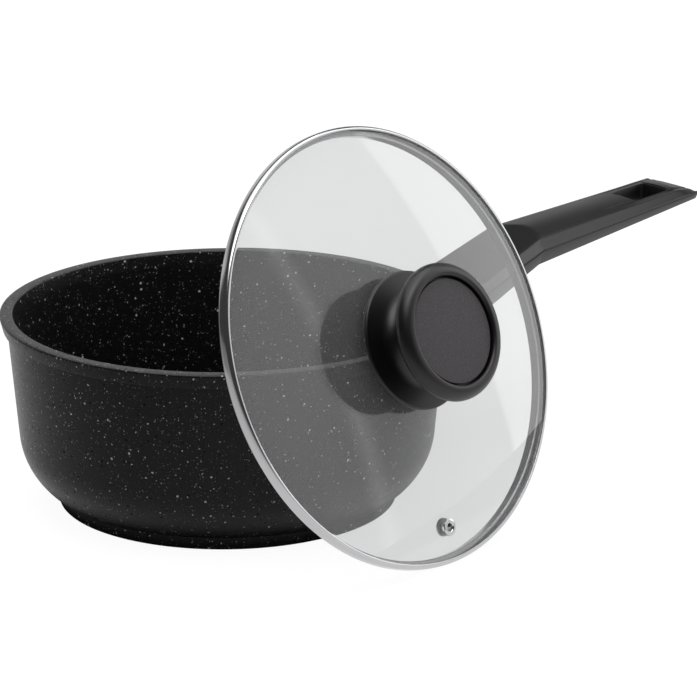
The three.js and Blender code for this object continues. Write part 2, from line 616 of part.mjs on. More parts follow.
/** Flanged knob with a waisted neck, a beaded head and a recess for the inset disc. */
function knobBody() {
  const flange = knobFoot + KNOB_FLANGE_HEIGHT;
  const flangeArc = KNOB_FLANGE_RADIUS - KNOB_FLANGE_EDGE;
  const head = knobFoot + KNOB_HEAD_HEIGHT;
  const bead = KNOB_HEAD_RADIUS - KNOB_BEAD_RADIUS;
  const crest = knobFoot + KNOB_HEIGHT;
  const lipCentre = crest - KNOB_LIP_ROUND;
  const recess = crest - KNOB_RECESS_DEPTH;
  const recessRadius = KNOB_DISC_RADIUS + FIT_GAP;
  const holeRadius = KNOB_INSERT_RADIUS + FIT_GAP;
  const flangeTop = flange + KNOB_FLANGE_EDGE;
  const step = head - KNOB_HEAD_DEPTH;
  const stepRadius = KNOB_NECK_RADIUS + KNOB_NECK_HOLLOW;
  const [hollowMiddle, hollowHalf] = [(flangeTop + step) / 2, (step - flangeTop) / 2];
  const quarter = Math.PI / 2;
  const beadSweep = Math.PI / 3; // to either side of the widest line
  const hollow = new THREE.EllipseCurve(
    stepRadius, hollowMiddle, KNOB_NECK_HOLLOW, hollowHalf, -quarter, quarter, true,
  );
  return turned([
    [holeRadius, knobFoot],
    [KNOB_FOOT_RADIUS, knobFoot],
    [KNOB_FOOT_RADIUS + KNOB_FLANGE_EDGE, knobFoot + KNOB_FLANGE_EDGE],
    ...arc(flangeArc, flange, KNOB_FLANGE_EDGE, -quarter, quarter, BEAD_STEPS),
    ...hollow.getPoints(HOLLOW_STEPS).map((p) => [p.x, p.y]),
    [stepRadius + KNOB_STEP_WIDTH, step],
    [stepRadius + KNOB_STEP_WIDTH, step + KNOB_STEP_HEIGHT],
    ...arc(bead, head, KNOB_BEAD_RADIUS, -beadSweep, beadSweep, BEAD_STEPS),
    [bead, head + KNOB_BEAD_RADIUS],
    ...arc(KNOB_LIP_RADIUS, lipCentre, KNOB_LIP_ROUND, 0, Math.PI, BEAD_STEPS),
    [recessRadius, lipCentre - KNOB_LIP_ROUND],
    [recessRadius, recess],
    [0, recess],
    [0, insertTop + FIT_GAP],
    [holeRadius, insertTop + FIT_GAP],
  ], KNOB_TURN);
}

function knobDisc() {
  const bottom = knobFoot + KNOB_HEIGHT - KNOB_RECESS_DEPTH + FIT_GAP;
  return ring(0, KNOB_DISC_RADIUS, bottom, bottom + KNOB_DISC_THICKNESS, KNOB_TURN);
}

function knobScrew() {
  const length = knobFoot + KNOB_SCREW_REACH - knobScrewSeat;
  return screw(KNOB_SCREW_HEAD_RADIUS, KNOB_SCREW_HEAD_HEIGHT, knobScrewSeat, length);
}

/** A washer round the knob's screw, given by its outer radius and upper face. */
function knobWasher(radius, top, thickness) {
  return ring(SCREW_RADIUS + FIT_GAP, radius, top - thickness, top);
}

function knobGasket() {
  return knobWasher(KNOB_GASKET_RADIUS, knobFoot - FIT_GAP, KNOB_GASKET_THICKNESS);
}

function sealWasher() {
  return knobWasher(SEAL_WASHER_RADIUS, sealTop, SEAL_WASHER_THICKNESS);
}

function steelWasher() {
  return knobWasher(STEEL_WASHER_RADIUS, steelWasherTop, STEEL_WASHER_THICKNESS);
}

// ---------------------------------------------------------------- assembly

/**
 * Where the lid's middle lies, so that its edge is on the ground and its underside is a fit gap
 * from the rim. Each face of the underside keeps the lid out by some distance, and the farthest wins.
 */
function leanPosition() {
  const [level, up] = [Math.cos(LEAN_BACK), Math.sin(LEAN_BACK)];
  const middle = LID_RADIUS * level + halfBand * up;
  const rim = { radius: RIM_RADIUS - RIM_ROUND, height: PAN_HEIGHT - RIM_ROUND }; // of its round's middle
  const clearance = RIM_ROUND + FIT_GAP;

  /** Distance kept by a round flat face, which meets the rim flat on or with its edge. */
  const keptByFlat = ([radius, faceHeight]) => {
    const halfChord = Math.sqrt(Math.max(radius ** 2 - LEAN_SIDE ** 2, 0));
    const flatOn = rim.radius + ((rim.height - middle) * up + clearance - faceHeight) / level;
    const rimOffset = (rim.radius - flatOn) * up + (middle - rim.height) * level;
    if (Math.abs(rimOffset) <= halfChord) return flatOn;
    const edge = Math.sign(rimOffset) * halfChord;
    const edgeOverRim = middle + faceHeight * up - edge * level - rim.height;
    if (edgeOverRim > clearance) return 0;
    const reach = Math.sqrt(clearance ** 2 - Math.max(edgeOverRim, 0) ** 2);
    return rim.radius + reach - faceHeight * level - edge * up;
  };

  /** Distance kept by the glass, which the rim meets inside the dome. */
  const keptByGlass = () => {
    const dome = domeCurve - GLASS_THICKNESS - clearance;
    const drop = middle + domeMiddle * up - rim.height;
    return rim.radius - domeMiddle * level - Math.sqrt(dome ** 2 - drop ** 2);
  };

  const headEdge = KNOB_SCREW_HEAD_HEIGHT * HEAD_EDGE_SHARE;
  const flats = [
    [KNOB_SCREW_HEAD_RADIUS - headEdge, knobScrewBottom],
    [KNOB_SCREW_HEAD_RADIUS, knobScrewBottom + headEdge],
    [STEEL_WASHER_RADIUS, steelWasherTop - STEEL_WASHER_THICKNESS],
  ];
  return new THREE.Vector3(Math.max(...flats.map(keptByFlat), keptByGlass()), LEAN_SIDE, middle);
}

const pan = new THREE.Group();
pan.add(
  piece('pan_body', 'coatedCasting', panBody()),
  piece('base_plate', 'baseSteel', basePlate()),
  piece('handle_body', 'bakelite', handleBody()),
  piece('handle_screw', 'fastenerSteel', handleScrew()),
  piece('handle_lock_washer', 'fastenerSteel', lockWasher()),
);

const lid = new THREE.Group(); // local +X points down the leaning lid, to the vent
lid.rotation.y = Math.PI / 2 - LEAN_BACK;
lid.position.copy(leanPosition());
lid.add(
  piece('lid_glass', 'glass', lidGlass()),
  piece('lid_rim_band', 'polishedSteel', lidBand()),
  piece('vent_eyelet', 'polishedSteel', ventEyelet()),
  piece('vent_washer', 'polishedSteel', ventWasher()),
  piece('knob_body', 'bakelite', knobBody()),
  piece('knob_disc', 'discPlastic', knobDisc()),
  piece('knob_gasket', 'silicone', knobGasket()),
  piece('knob_insert', 'brass', knobWasher(KNOB_INSERT_RADIUS, insertTop, KNOB_INSERT_LENGTH)),
  piece('knob_screw', 'fastenerSteel', knobScrew()),
  piece('knob_seal_washer', 'silicone', sealWasher()),
  piece('knob_steel_washer', 'fastenerSteel', steelWasher()),
);

const leaning = new THREE.Group();
leaning.rotation.z = LEAN_HEADING;
leaning.add(lid);

const group = new THREE.Group();
group.add(pan, leaning);

export default group;
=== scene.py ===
"""Dresses the packed saucepan with a glass lid: its pieces, finishes and stage, in metres."""

from math import asin, ceil, cos, hypot, pi, radians, sin, sqrt, tan

import bmesh
import bpy
from bpy.props import FloatProperty, FloatVectorProperty, PointerProperty
from mathutils import Matrix, Vector


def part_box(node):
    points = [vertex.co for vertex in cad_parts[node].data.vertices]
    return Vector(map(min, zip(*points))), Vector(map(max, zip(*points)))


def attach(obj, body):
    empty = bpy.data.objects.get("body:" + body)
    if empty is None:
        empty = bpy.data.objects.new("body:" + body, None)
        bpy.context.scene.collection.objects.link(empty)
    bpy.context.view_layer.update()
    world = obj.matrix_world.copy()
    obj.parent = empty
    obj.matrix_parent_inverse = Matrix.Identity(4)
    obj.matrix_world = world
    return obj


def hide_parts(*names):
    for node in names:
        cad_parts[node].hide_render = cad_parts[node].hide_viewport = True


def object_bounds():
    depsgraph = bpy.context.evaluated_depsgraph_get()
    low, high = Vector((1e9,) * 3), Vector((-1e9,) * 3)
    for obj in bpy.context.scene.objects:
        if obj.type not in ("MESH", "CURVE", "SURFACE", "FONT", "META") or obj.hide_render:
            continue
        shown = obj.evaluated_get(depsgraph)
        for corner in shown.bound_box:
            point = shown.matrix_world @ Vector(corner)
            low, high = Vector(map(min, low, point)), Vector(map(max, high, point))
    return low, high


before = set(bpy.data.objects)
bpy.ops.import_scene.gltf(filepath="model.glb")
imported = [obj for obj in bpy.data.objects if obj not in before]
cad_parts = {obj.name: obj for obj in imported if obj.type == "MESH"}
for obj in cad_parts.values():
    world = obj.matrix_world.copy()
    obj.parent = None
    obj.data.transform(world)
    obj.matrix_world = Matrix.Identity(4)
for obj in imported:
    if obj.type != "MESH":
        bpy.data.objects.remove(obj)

bl_info = {
    "name": "Saucepan with glass lid",
    "version": (1, 0, 0),
    "blender": (4, 5, 0),
    "location": "3D View > Sidebar > Saucepan",
    "description": "Builds the shapes, finishes and stage of a saucepan with a leaning glass lid",
    "category": "Object",
}

MM = 0.001
CAD_LOW, CAD_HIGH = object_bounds()
CREASE_ANGLE = radians(32)  # edges sharper than this stay sharp
FULL_TURN = 2 * pi
FIT_GAP = 0.3 * MM  # left between pieces that seat on or pass through each other


# ---- places from the frame


def centre(node):
    """Middle of a CAD node's box."""
    low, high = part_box(node)
    return (low + high) / 2


def turned_points(node, matrix):
    """Radius and height of each corner of a CAD node, in a turned piece's own frame."""
    inverse = matrix.inverted()
    corners = [inverse @ vertex.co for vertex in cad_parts[node].data.vertices]
    return [(hypot(corner.x, corner.y), corner.z) for corner in corners]


def reach(node, matrix):
    """Largest radius, lowest height and highest height of a CAD node about an axis."""
    points = turned_points(node, matrix)
    heights = [height for _, height in points]
    return max(radius for radius, _ in points), min(heights), max(heights)


def lid_frame():
    """The lid's own frame: +Z out through the knob, +X down to the vent, origin amid the band."""
    axis = (centre("knob_disc") - centre("knob_steel_washer")).normalized()
    across = Vector((0, 0, 1)).cross(axis).normalized()
    down = across.cross(axis)
    turn = Matrix((down, across, axis)).transposed().to_4x4()
    on_axis = Matrix.Translation(centre("knob_steel_washer")) @ turn
    points = turned_points("lid_rim_band", on_axis)
    edge = max(radius for radius, _ in points) - 0.05 * MM
    outer = [height for radius, height in points if radius > edge]
    return on_axis @ Matrix.Translation((0, 0, (min(outer) + max(outer)) / 2))


PAN_FRAME = Matrix.Identity(4)
LID_FRAME = lid_frame()
LID_RADIUS = reach("lid_rim_band", LID_FRAME)[0]
GLASS_CROWN = reach("lid_glass", LID_FRAME)[2]
VENT_FLANGE = 4.0 * MM
VENT_AT = reach("vent_eyelet", LID_FRAME)[0] - VENT_FLANGE
PAN_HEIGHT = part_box("pan_body")[1].z
HANDLE_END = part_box("handle_body")[1].x
HANDLE_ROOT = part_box("handle_body")[0].x


# ---- sizes and colours


def length(name, description, millimetres):
    """A size, given in millimetres."""
    return FloatProperty(name=name, description=description, default=millimetres * MM, min=0.0,
                         subtype="DISTANCE", unit="LENGTH", precision=5)


def angle(name, description, degrees):
    """An angle, given in degrees."""
    return FloatProperty(name=name, description=description, default=radians(degrees),
                         subtype="ANGLE", unit="ROTATION")


def tone(name, description, default):
    """A linear colour."""
    return FloatVectorProperty(name=name, description=description, default=default, size=3,
                               min=0.0, max=1.0, subtype="COLOR")


def share(name, description, default):
    """A plain share from 0 to 1."""
    return FloatProperty(name=name, description=description, default=default, min=0.0, max=1.0,
                         subtype="FACTOR")


class PanSizes(bpy.types.PropertyGroup):
    """Sizes of the cast pan."""

    rim_radius: length("Rim radius", "Outer edge of the flared rim", 105.3)
    rim_opening: length("Rim opening", "Radius of the mouth at the rim", 99.0)
    band_height: length("Rim band height", "Height of the thick band below the rim", 6.5)
    band_taper: length("Rim band taper", "Radius that the band loses downwards", 1.7)
    band_step: length("Rim band step", "How far the band stands out from the wall", 2.0)
    wall: length("Wall", "Thickness of the wall", 3.6)
    draft: angle("Wall draft", "Slope of the wall from upright", 5.1)
    corner_height: length("Corner height", "Where the wall turns into the corner", 32.4)
    corner_radius: length("Corner radius", "Round of the outer bottom corner", 35.0)
    inner_corner: length("Inner corner radius", "Round between wall and floor", 28.0)
    edge_height: length("Corner edge height", "Lower edge of the corner", 6.9)
    floor: length("Floor thickness", "Thickness of the pan's floor", 6.5)
    foot_radius: length("Foot radius", "Outer radius of the foot ring", 79.0)


class HandleSizes(bpy.types.PropertyGroup):
    """Sizes of the moulded handle."""

    bend_x: length("Bend", "Distance of the bend from the pan's axis", 187.0)
    root_height: length("Root height", "Height of the side ridges at the root", 63.8)
    neck_rise: angle("Neck rise", "Slope of the neck", 18.2)
    grip_rise: angle("Grip rise", "Slope of the grip", 4.5)
    slot_start: length("Slot start", "Near end of the hanging slot", 263.5)
    slot_length: length("Slot length", "Length of the hanging slot", 24.3)
    slot_half_width: length("Slot half width", "Half the width of the slot", 9.2)
    slot_corner: length("Slot corner", "Round of the slot's corners", 2.0)
    slot_lip: length("Slot lip", "Round of the slot's upper and lower edge", 0.5)
    flank_bow: length("Flank bow", "How far the sloping flanks bulge", 0.35)
    tip_length: length("Tip length", "Length over which the top slopes down", 10.0)
    slot_draft: length("Slot draft", "How much narrower the slot is at the underside", 1.0)
    strip_depth: length("Strip depth", "Depth of the strips beside the slot", 0.55)
    strip_length: length("Strip length", "Length over which the strips deepen", 26.0)


class LidSizes(bpy.types.PropertyGroup):
    """Sizes of the glass, its steel band and its vent."""

    glass: length("Glass", "Thickness of the glass", 3.6)
    metal: length("Band metal", "Thickness of the band's sheet", 0.6)
    top_width: length("Band top", "Width of the band's upper lip", 2.1)
    seat_width: length("Band seat", "Width of the seat that rests on the rim", 3.9)
    lip_depth: length("Band lip", "Depth of the lip that drops into the pan", 4.0)
    flat_width: length("Glass margin", "Flat margin of the glass in the band", 1.0)
    vent_at: length("Vent place", "Distance of the vent from the lid's axis", VENT_AT / MM)
    vent_hole: length("Vent hole", "Radius of the vent's hole", 1.7)
    vent_flange: length("Vent flange", "Radius of the eyelet's flange", VENT_FLANGE / MM)


class KnobSizes(bpy.types.PropertyGroup):
    """Sizes of the moulded knob."""

    flange_radius: length("Flange radius", "Widest radius of the flange", 31.6)
    flange_height: length("Flange height", "From the foot to the flange's widest line", 4.1)
    foot_radius: length("Foot radius", "Radius of the knob's foot", 21.5)
    neck_radius: length("Neck radius", "Narrowest radius of the neck", 16.8)
    neck_hollow: length("Neck hollow", "Depth of the neck's hollow", 7.2)
    head_radius: length("Head radius", "Widest radius of the head", 31.2)
    head_height: length("Head height", "From the foot to the head's widest line", 24.4)
    ring_round: length("Ring round", "Round of the ring's outer upper edge", 5.1)
    disc_sink: length("Disc sink", "How far the disc lies below the lip", 2.0)
    disc_gap: length("Disc gap", "Gap round the disc", 0.9)


class Finishes(bpy.types.PropertyGroup):
    """Colours and textures of the finishes."""

    coating: tone("Coating", "Non-stick coating", (0.0075, 0.0073, 0.0076))
    # painted highlight: this lighter colour on the rim's face stands in for the sheen of light that
    # the face catches
    rim: tone("Rim", "Thinner coating on the rim's face", (0.06, 0.058, 0.059))
    speckle: tone("Speckle", "Light speckles in the coating", (0.72, 0.72, 0.72))
    bakelite: tone("Bakelite", "Moulded handle and knob", (0.0035, 0.0032, 0.0036))
    disc: tone("Disc", "Disc set into the knob", (0.09, 0.083, 0.089))
    steel: tone("Steel", "Polished steel", (0.56, 0.56, 0.57))
    glass: tone("Glass", "Tint of the glass", (0.725, 0.729, 0.731))
    haze: share("Haze", "Faint milky haze of the glass", 0.065)
    silicone: tone("Silicone", "Washers and pads", (0.62, 0.62, 0.60))
    brass: tone("Brass", "Threaded insert", (0.62, 0.43, 0.17))
    speckle_share: share("Speckle share", "Share of the cells that hold a speckle", 0.6)


class StageSettings(bpy.types.PropertyGroup):
    """Camera, floor and light."""

    azimuth: angle("Azimuth", "Direction of the camera, seen from above", -132.0)
    elevation: angle("Elevation", "Height angle of the camera", 17.1)
    distance: length("Distance", "From the camera to its target", 1870.0)
    target: FloatVectorProperty(name="Target", description="Point that the camera faces",
                                default=(42.66 * MM, -38.41 * MM, 71.4 * MM), size=3,
                                subtype="XYZ", unit="LENGTH")
    lens: FloatProperty(name="Lens", description="Focal length in millimetres", default=206.6)
    room_light: FloatProperty(name="Room light", description="Strength of the even room light",
                              default=0.45)
    lamp_size: length("Lamp size", "Side of the square lamp overhead", 1600.0)
    lamp_height: length("Lamp height", "Height of the lamp", 1500.0)
    lamp_power: FloatProperty(name="Lamp power", description="Power of the lamp in watts",
                              default=14.0)


# ---- mesh code


def bend(start, corner, end, t):
    """Point at share t of a curve from start to end that a corner pulls outwards."""
    return start * (1 - t) ** 2 + corner * 2 * t * (1 - t) + end * t * t


def rounded(corners, steps=5):
    """Outline through a closed shape's (x, y, radius) corners, sharp where there's no radius."""
    outline = []
    for index, (x, y, *radius) in enumerate(corners):
        if not radius:
            outline.append((x, y))
            continue
        corner = Vector((x, y))
        before = Vector(corners[index - 1][:2]) - corner
        after = Vector(corners[(index + 1) % len(corners)][:2]) - corner
        cut = radius[0] / tan(before.angle(after) / 2)
        cut = min(cut, 0.49 * before.length, 0.49 * after.length)
        start, end = corner + before.normalized() * cut, corner + after.normalized() * cut
        outline += [tuple(bend(start, corner, end, step / steps)) for step in range(steps + 1)]
    return outline


def arc(middle, radius, start, end, steps, tall=None):
    """Points (radius, height) of an arc between two angles, or of an ellipse if tall is given."""
    angles = [start + (end - start) * step / steps for step in range(steps + 1)]
    return [(middle[0] + radius * cos(a), middle[1] + (tall or radius) * sin(a)) for a in angles]


def mesh_data(name, mesh):
    """Turns a bmesh into mesh data with faces that look outwards."""
    bmesh.ops.recalc_face_normals(mesh, faces=mesh.faces)
    data = bpy.data.meshes.new(name)
    mesh.to_mesh(data)
    mesh.free()
    return data


def put(name, data):
    """Puts an object into the scene."""
    item = bpy.data.objects.new(name, data)
    bpy.context.scene.collection.objects.link(item)
    return item


def smooth(data):
    """Shades a mesh smoothly between its sharp edges."""
    data.polygons.foreach_set("use_smooth", [True] * len(data.polygons))
    data.set_sharp_from_angle(angle=CREASE_ANGLE)


def add_piece(name, mesh, matrix, body, slot, *replaced):
    """Turns a bmesh into a piece that rides on a body and has the finish of its slot."""
    bmesh.ops.transform(mesh, verts=mesh.verts, matrix=matrix)
    data = mesh_data(name, mesh)
    smooth(data)
    data.materials.append(finish(slot))
    piece = put(name, data)
    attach(piece, body)
    if replaced:
        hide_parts(*replaced)
    return piece


def join(mesh, near, far):
    """Faces between two closed rows of corners, of which one may be a single point."""
    count = max(len(near), len(far))
    for i in range(count):
        j = (i + 1) % count
        corners = (near[i % len(near)], near[j % len(near)], far[j % len(far)], far[i % len(far)])
        mesh.faces.new(list(dict.fromkeys(corners)))


def revolved(outline, turns):
    """Bmesh of a closed (radius, height) outline turned about +Z."""
    mesh = bmesh.new()
    angles = [FULL_TURN * turn / turns for turn in range(turns)]
    rings = [[mesh.verts.new((radius * cos(a), radius * sin(a), height))
              for a in (angles if radius > 1e-7 else angles[:1])] for radius, height in outline]
    for near, far in zip(rings, rings[1:] + rings[:1]):
        if len(near) + len(far) > 2:
            join(mesh, near, far)
    return mesh


def skinned(rings):
    """Bmesh over closed rings of equally many points, with flat ends."""
    mesh = bmesh.new()
    rows = [[mesh.verts.new(point) for point in ring] for ring in rings]
    for near, far in zip(rows, rows[1:]):
        join(mesh, near, far)
    mesh.faces.new(rows[0])
    mesh.faces.new(rows[-1])
    return mesh


def bore(radius, low, high, matrix, turns):
    """Bmesh of a cylinder to cut out, from a low to a high end along a frame's +Z."""
    mesh = revolved([(0, low), (radius, low), (radius, high), (0, high)], turns)
    bmesh.ops.transform(mesh, verts=mesh.verts, matrix=matrix)
    return mesh


def cut(piece, tool_mesh):
    """Cuts a closed bmesh out of a piece, and shades the result."""
    tool = put("cutter", mesh_data("cutter", tool_mesh))
    modifier = piece.modifiers.new("cut", "BOOLEAN")
    modifier.operation, modifier.solver, modifier.object = "DIFFERENCE", "EXACT", tool
    bpy.context.view_layer.update()
    graph = bpy.context.evaluated_depsgraph_get()
    result = bpy.data.meshes.new_from_object(piece.evaluated_get(graph))
    piece.modifiers.clear()
    piece.data = result
    smooth(result)
    bpy.data.objects.remove(tool)


def dress(finish_name, *nodes):
    """Gives CAD nodes that keep their own mesh a finish and smooth shading."""
    for node in nodes:
        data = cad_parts[node].data
        data.materials.clear()
        data.materials.append(finish(finish_name))
        smooth(data)


# ---- finishes


class Shader:
    """A node tree that is being wired."""

    def __init__(self, tree):
        self.tree = tree

    def add(self, kind, inputs=None, **settings):
        """Adds a node and returns its outputs. Inputs are values, or outputs of other nodes."""
        node = self.tree.nodes.new(kind)
        for name, value in settings.items():
            setattr(node, name, value)
        for name, value in (inputs or {}).items():
            if isinstance(value, bpy.types.NodeSocket):
                self.tree.links.new(value, node.inputs[name])
            else:
                node.inputs[name].default_value = value
        return node.outputs

    def math(self, operation, *values):
        """Adds a maths node and returns its output."""
        return self.add("ShaderNodeMath", dict(enumerate(values)), operation=operation)[0]

    def ramp(self, value, low, high):
        """Maps a value from low to high onto 0 to 1, smoothly."""
        return self.add("ShaderNodeMapRange", {"Value": value, "From Min": low, "From Max": high},
                        interpolation_type="SMOOTHSTEP")["Result"]

    def mix(self, factor, first, second):
        """Mixes two colours."""
        return self.add("ShaderNodeMix", {0: factor, 6: first, 7: second}, data_type="RGBA")[2]

    def noise(self, place, scale, detail):
        """Soft random pattern in space."""
        return self.add("ShaderNodeTexNoise", {"Vector": place, "Scale": scale, "Detail": detail})

    def grain(self, place, scale, detail):
        """Places the group of the fine grain."""
        return self.add("ShaderNodeGroup", {"Vector": place, "Scale": scale, "Detail": detail},
                        node_tree=grain_group())

    def place(self):
        """The shaded point, in metres."""
        return self.add("ShaderNodeTexCoord")["Object"]

    def axis(self, place, name):
        """One coordinate of a point."""
        return self.add("ShaderNodeSeparateXYZ", {0: place})[name]

    def apart(self, place):
        """Distance of a point from the upright axis through the pan."""
        squares = [self.math("POWER", self.axis(place, name), 2.0) for name in "XY"]
        return self.math("SQRT", self.math("ADD", *squares))

    def relief(self, height, strength, depth):
        """Normal of a surface that a height raises."""
        return self.add("ShaderNodeBump", {"Height": height, "Strength": strength,
                                           "Distance": depth})[0]

    def paths(self):
        """The kinds of light path, and those that reach the camera plainly or through glass."""
        path = self.add("ShaderNodeLightPath")
        return path, self.math("MAXIMUM", path["Is Camera Ray"], path["Is Transmission Ray"])


def new_group(name, inputs, *outputs):
    """Starts a node group, and returns its shader and what it is given.

    An input with a default is a number, and one without is a vector. All outputs are numbers.
    """
    tree = bpy.data.node_groups.new(name, "ShaderNodeTree")
    for label, value in inputs.items():
        kind = "NodeSocketVector" if value is None else "NodeSocketFloat"
        socket = tree.interface.new_socket(name=label, in_out="INPUT", socket_type=kind)
        if value is not None:
            socket.default_value = value
    for label in outputs:
        tree.interface.new_socket(name=label, in_out="OUTPUT", socket_type="NodeSocketFloat")
    shader = Shader(tree)
    return shader, shader.add("NodeGroupInput")


FINISH_NAME = "finish_"


def new_material(name):
    """Starts a material and returns it with its shader."""
    material = bpy.data.materials.new(FINISH_NAME + name)
    material.use_nodes = True
    material.node_tree.nodes.clear()
    return material, Shader(material.node_tree)


def finish_material(shader, surface):
    """Wires the surface to the material's output."""
    shader.add("ShaderNodeOutputMaterial", {"Surface": surface})


def principled(material, shader, inputs):
    """Finishes a material with a Principled surface, and returns it."""
    finish_material(shader, shader.add("ShaderNodeBsdfPrincipled", inputs)[0])
    return material


def speckle_group():
    """Irregular dots scattered over a surface."""
    name = "Scattered speckles"
    if name in bpy.data.node_groups:
        return bpy.data.node_groups[name]
    shader, given = new_group(
        name, {"Vector": None, "Scale": 400.0, "Size": 0.3, "Share": 0.3}, "Mask")

    def vector_math(operation, inputs):
        return shader.add("ShaderNodeVectorMath", inputs, operation=operation)[0]

    wobble = shader.noise(given["Vector"], 1900.0, 1.0)["Color"]
    offset = vector_math("SUBTRACT", {0: wobble, 1: (0.5, 0.5, 0.5)})
    small = vector_math("SCALE", {0: offset, "Scale": 1.1 * MM})
    cells = shader.add("ShaderNodeTexVoronoi", {
        "Vector": vector_math("ADD", {0: given["Vector"], 1: small}), "Scale": given["Scale"],
        "Randomness": 1.0}, feature="F1")
    draw = shader.add("ShaderNodeSeparateColor", {"Color": cells["Color"]})
    size = shader.math("MULTIPLY", given["Size"],
                       shader.math("ADD", 0.35, shader.math("POWER", draw["Green"], 2.0)))
    dot = shader.ramp(shader.math("SUBTRACT", size, cells["Distance"]), 0.0, 0.07)
    chosen = shader.math("LESS_THAN", draw["Red"], given["Share"])
    shader.add("NodeGroupOutput", {"Mask": shader.math("MULTIPLY", dot, chosen)})
    return shader.tree


def grain_group():
    """Fine moulded or sprayed grain as a height and a slow tone change."""
    name = "Fine grain"
    if name in bpy.data.node_groups:
        return bpy.data.node_groups[name]
    shader, given = new_group(
        name, {"Vector": None, "Scale": 1200.0, "Detail": 3.0}, "Height", "Tone")
    shader.add("NodeGroupOutput", {
        "Height": shader.noise(given["Vector"], given["Scale"], given["Detail"])["Fac"],
        "Tone": shader.noise(given["Vector"], 45.0, 2.0)["Fac"]})
    return shader.tree


def scaled(colour, factor=1.0):
    """A colour made darker or lighter, of four values."""
    return (*(min(1.0, value * factor) for value in colour), 1.0)


# Cells per metre and size in a cell, then how bright fine speckles are or the share of pits.
SPECKLES = (330.0, 0.17)
FINE_SPECKLES = ((640.0, 0.21, 0.7), (1000.0, 0.26, 0.25))
PITS = (600.0, 0.3, 0.4)
# Heights over which the rim's face takes its painted highlight colour.
RIM_SHEEN_HEIGHTS = (PAN_HEIGHT - 0.6 * MM, PAN_HEIGHT - 0.1 * MM)


def coated_casting():
    """Satin black non-stick coating with light speckles and dark pits."""
    finishes = bpy.context.scene.saucepan_finishes
    material, shader = new_material("coated_casting")
    place = shader.place()

    def speckles(scale, size, amount=finishes.speckle_share):
        return shader.add("ShaderNodeGroup", {"Vector": place, "Scale": scale, "Size": size,
                                              "Share": amount}, node_tree=speckle_group())["Mask"]

    light = speckles(*SPECKLES)
    for scale, size, brightness in FINE_SPECKLES:
        light = shader.math("MAXIMUM", light,
                            shader.math("MULTIPLY", speckles(scale, size), brightness))
    pits = speckles(*PITS)
    grain = shader.grain(place, 1500.0, 3.0)
    ground = shader.mix(grain["Tone"], scaled(finishes.coating, 0.8), scaled(finishes.coating, 1.2))
    # painted highlight: the rim's face is made lighter in place of the sheen that it catches
    rim_sheen_mask = shader.ramp(shader.axis(place, "Z"), *RIM_SHEEN_HEIGHTS)
    ground = shader.mix(rim_sheen_mask, ground, scaled(finishes.rim))
    ground = shader.mix(pits, ground, scaled(finishes.coating, 0.1))
    height = shader.math("SUBTRACT", grain["Height"], shader.math("MULTIPLY", pits, 0.8))
    rough = shader.math("MAXIMUM", shader.math("MULTIPLY_ADD", grain["Height"], 0.1, 0.3),
                        shader.math("MULTIPLY", pits, 0.9))
    return principled(material, shader, {
        "Base Color": shader.mix(light, ground, scaled(finishes.speckle)), "Roughness": rough,
        "Normal": shader.relief(height, 0.3, 0.05 * MM), "IOR": 1.25})


def grained(name, colour, shades, scale, detail, rough=None, relief=None, glint=None, **constant):
    """A finish of one colour with a fine grain.

    The colour changes between two shades, with the grain's slow tone or, given a glint, where the
    grain is high. Rough is the least roughness, the output that raises it and by how much. Relief
    is its strength and depth. Whatever else is given is the same all over.
    """
    material, shader = new_material(name)
    grain = shader.grain(shader.place(), scale, detail)
    change = shader.ramp(grain["Height"], *glint) if glint else grain["Tone"]
    colour = getattr(bpy.context.scene.saucepan_finishes, colour)
    inputs = {"Base Color": shader.mix(change, *(scaled(colour, shade) for shade in shades))}
    if rough:
        least, output, amount = rough
        inputs["Roughness"] = shader.math("MULTIPLY_ADD", grain[output], amount, least)
    if relief:
        inputs["Normal"] = shader.relief(grain["Height"], *relief)
    return principled(material, shader, {**inputs, **constant})


def bakelite():
    """Satin black phenolic moulding."""
    return grained("bakelite", "bakelite", (0.85, 1.2), 2600.0, 2.0, rough=(0.34, "Tone", 0.08),
                   relief=(0.3, 0.03 * MM), IOR=1.5)


def disc_plastic():
    """Dark grey disc with a fine sparkle."""
    return grained("disc_plastic", "disc", (0.75, 1.7), 3200.0, 2.0, relief=(0.5, 0.04 * MM),
                   glint=(0.52, 0.68), Roughness=0.6, IOR=1.45)


def polished_steel():
    """Rolled, polished stainless steel."""
    return grained("polished_steel", "steel", (0.94, 1.0), 700.0, 4.0,
                   rough=(0.09, "Height", 0.08), Metallic=1.0)


def fastener_steel():
    """Plain stainless steel of screws and washers."""
    return grained("fastener_steel", "steel", (0.7, 0.85), 2200.0, 3.0,
                   rough=(0.26, "Height", 0.15), Metallic=1.0)


def base_steel():
    """Turned steel disc of the underside, with fine concentric lines."""
    finishes = bpy.context.scene.saucepan_finishes
    material, shader = new_material("base_steel")
    place = shader.place()
    outwards = shader.math("MULTIPLY", shader.apart(place), 4200.0)
    lines = shader.add("ShaderNodeTexNoise", {"W": outwards, "Scale": 1.0, "Detail": 1.0},
                       noise_dimensions="1D")["Fac"]
    grain = shader.grain(place, 900.0, 3.0)
    return principled(material, shader, {
        "Base Color": shader.mix(lines, scaled(finishes.steel, 0.55), scaled(finishes.steel, 0.8)),
        "Roughness": shader.math("MULTIPLY_ADD", grain["Tone"], 0.14, 0.28),
        "Normal": shader.relief(lines, 0.25, 0.02 * MM), "Metallic": 1.0})


HAZE_COLOUR = (0.9, 0.9, 0.9, 1.0)
SHADOW_TINT = (0.85, 0.86, 0.86, 1.0)  # of the light that passes through


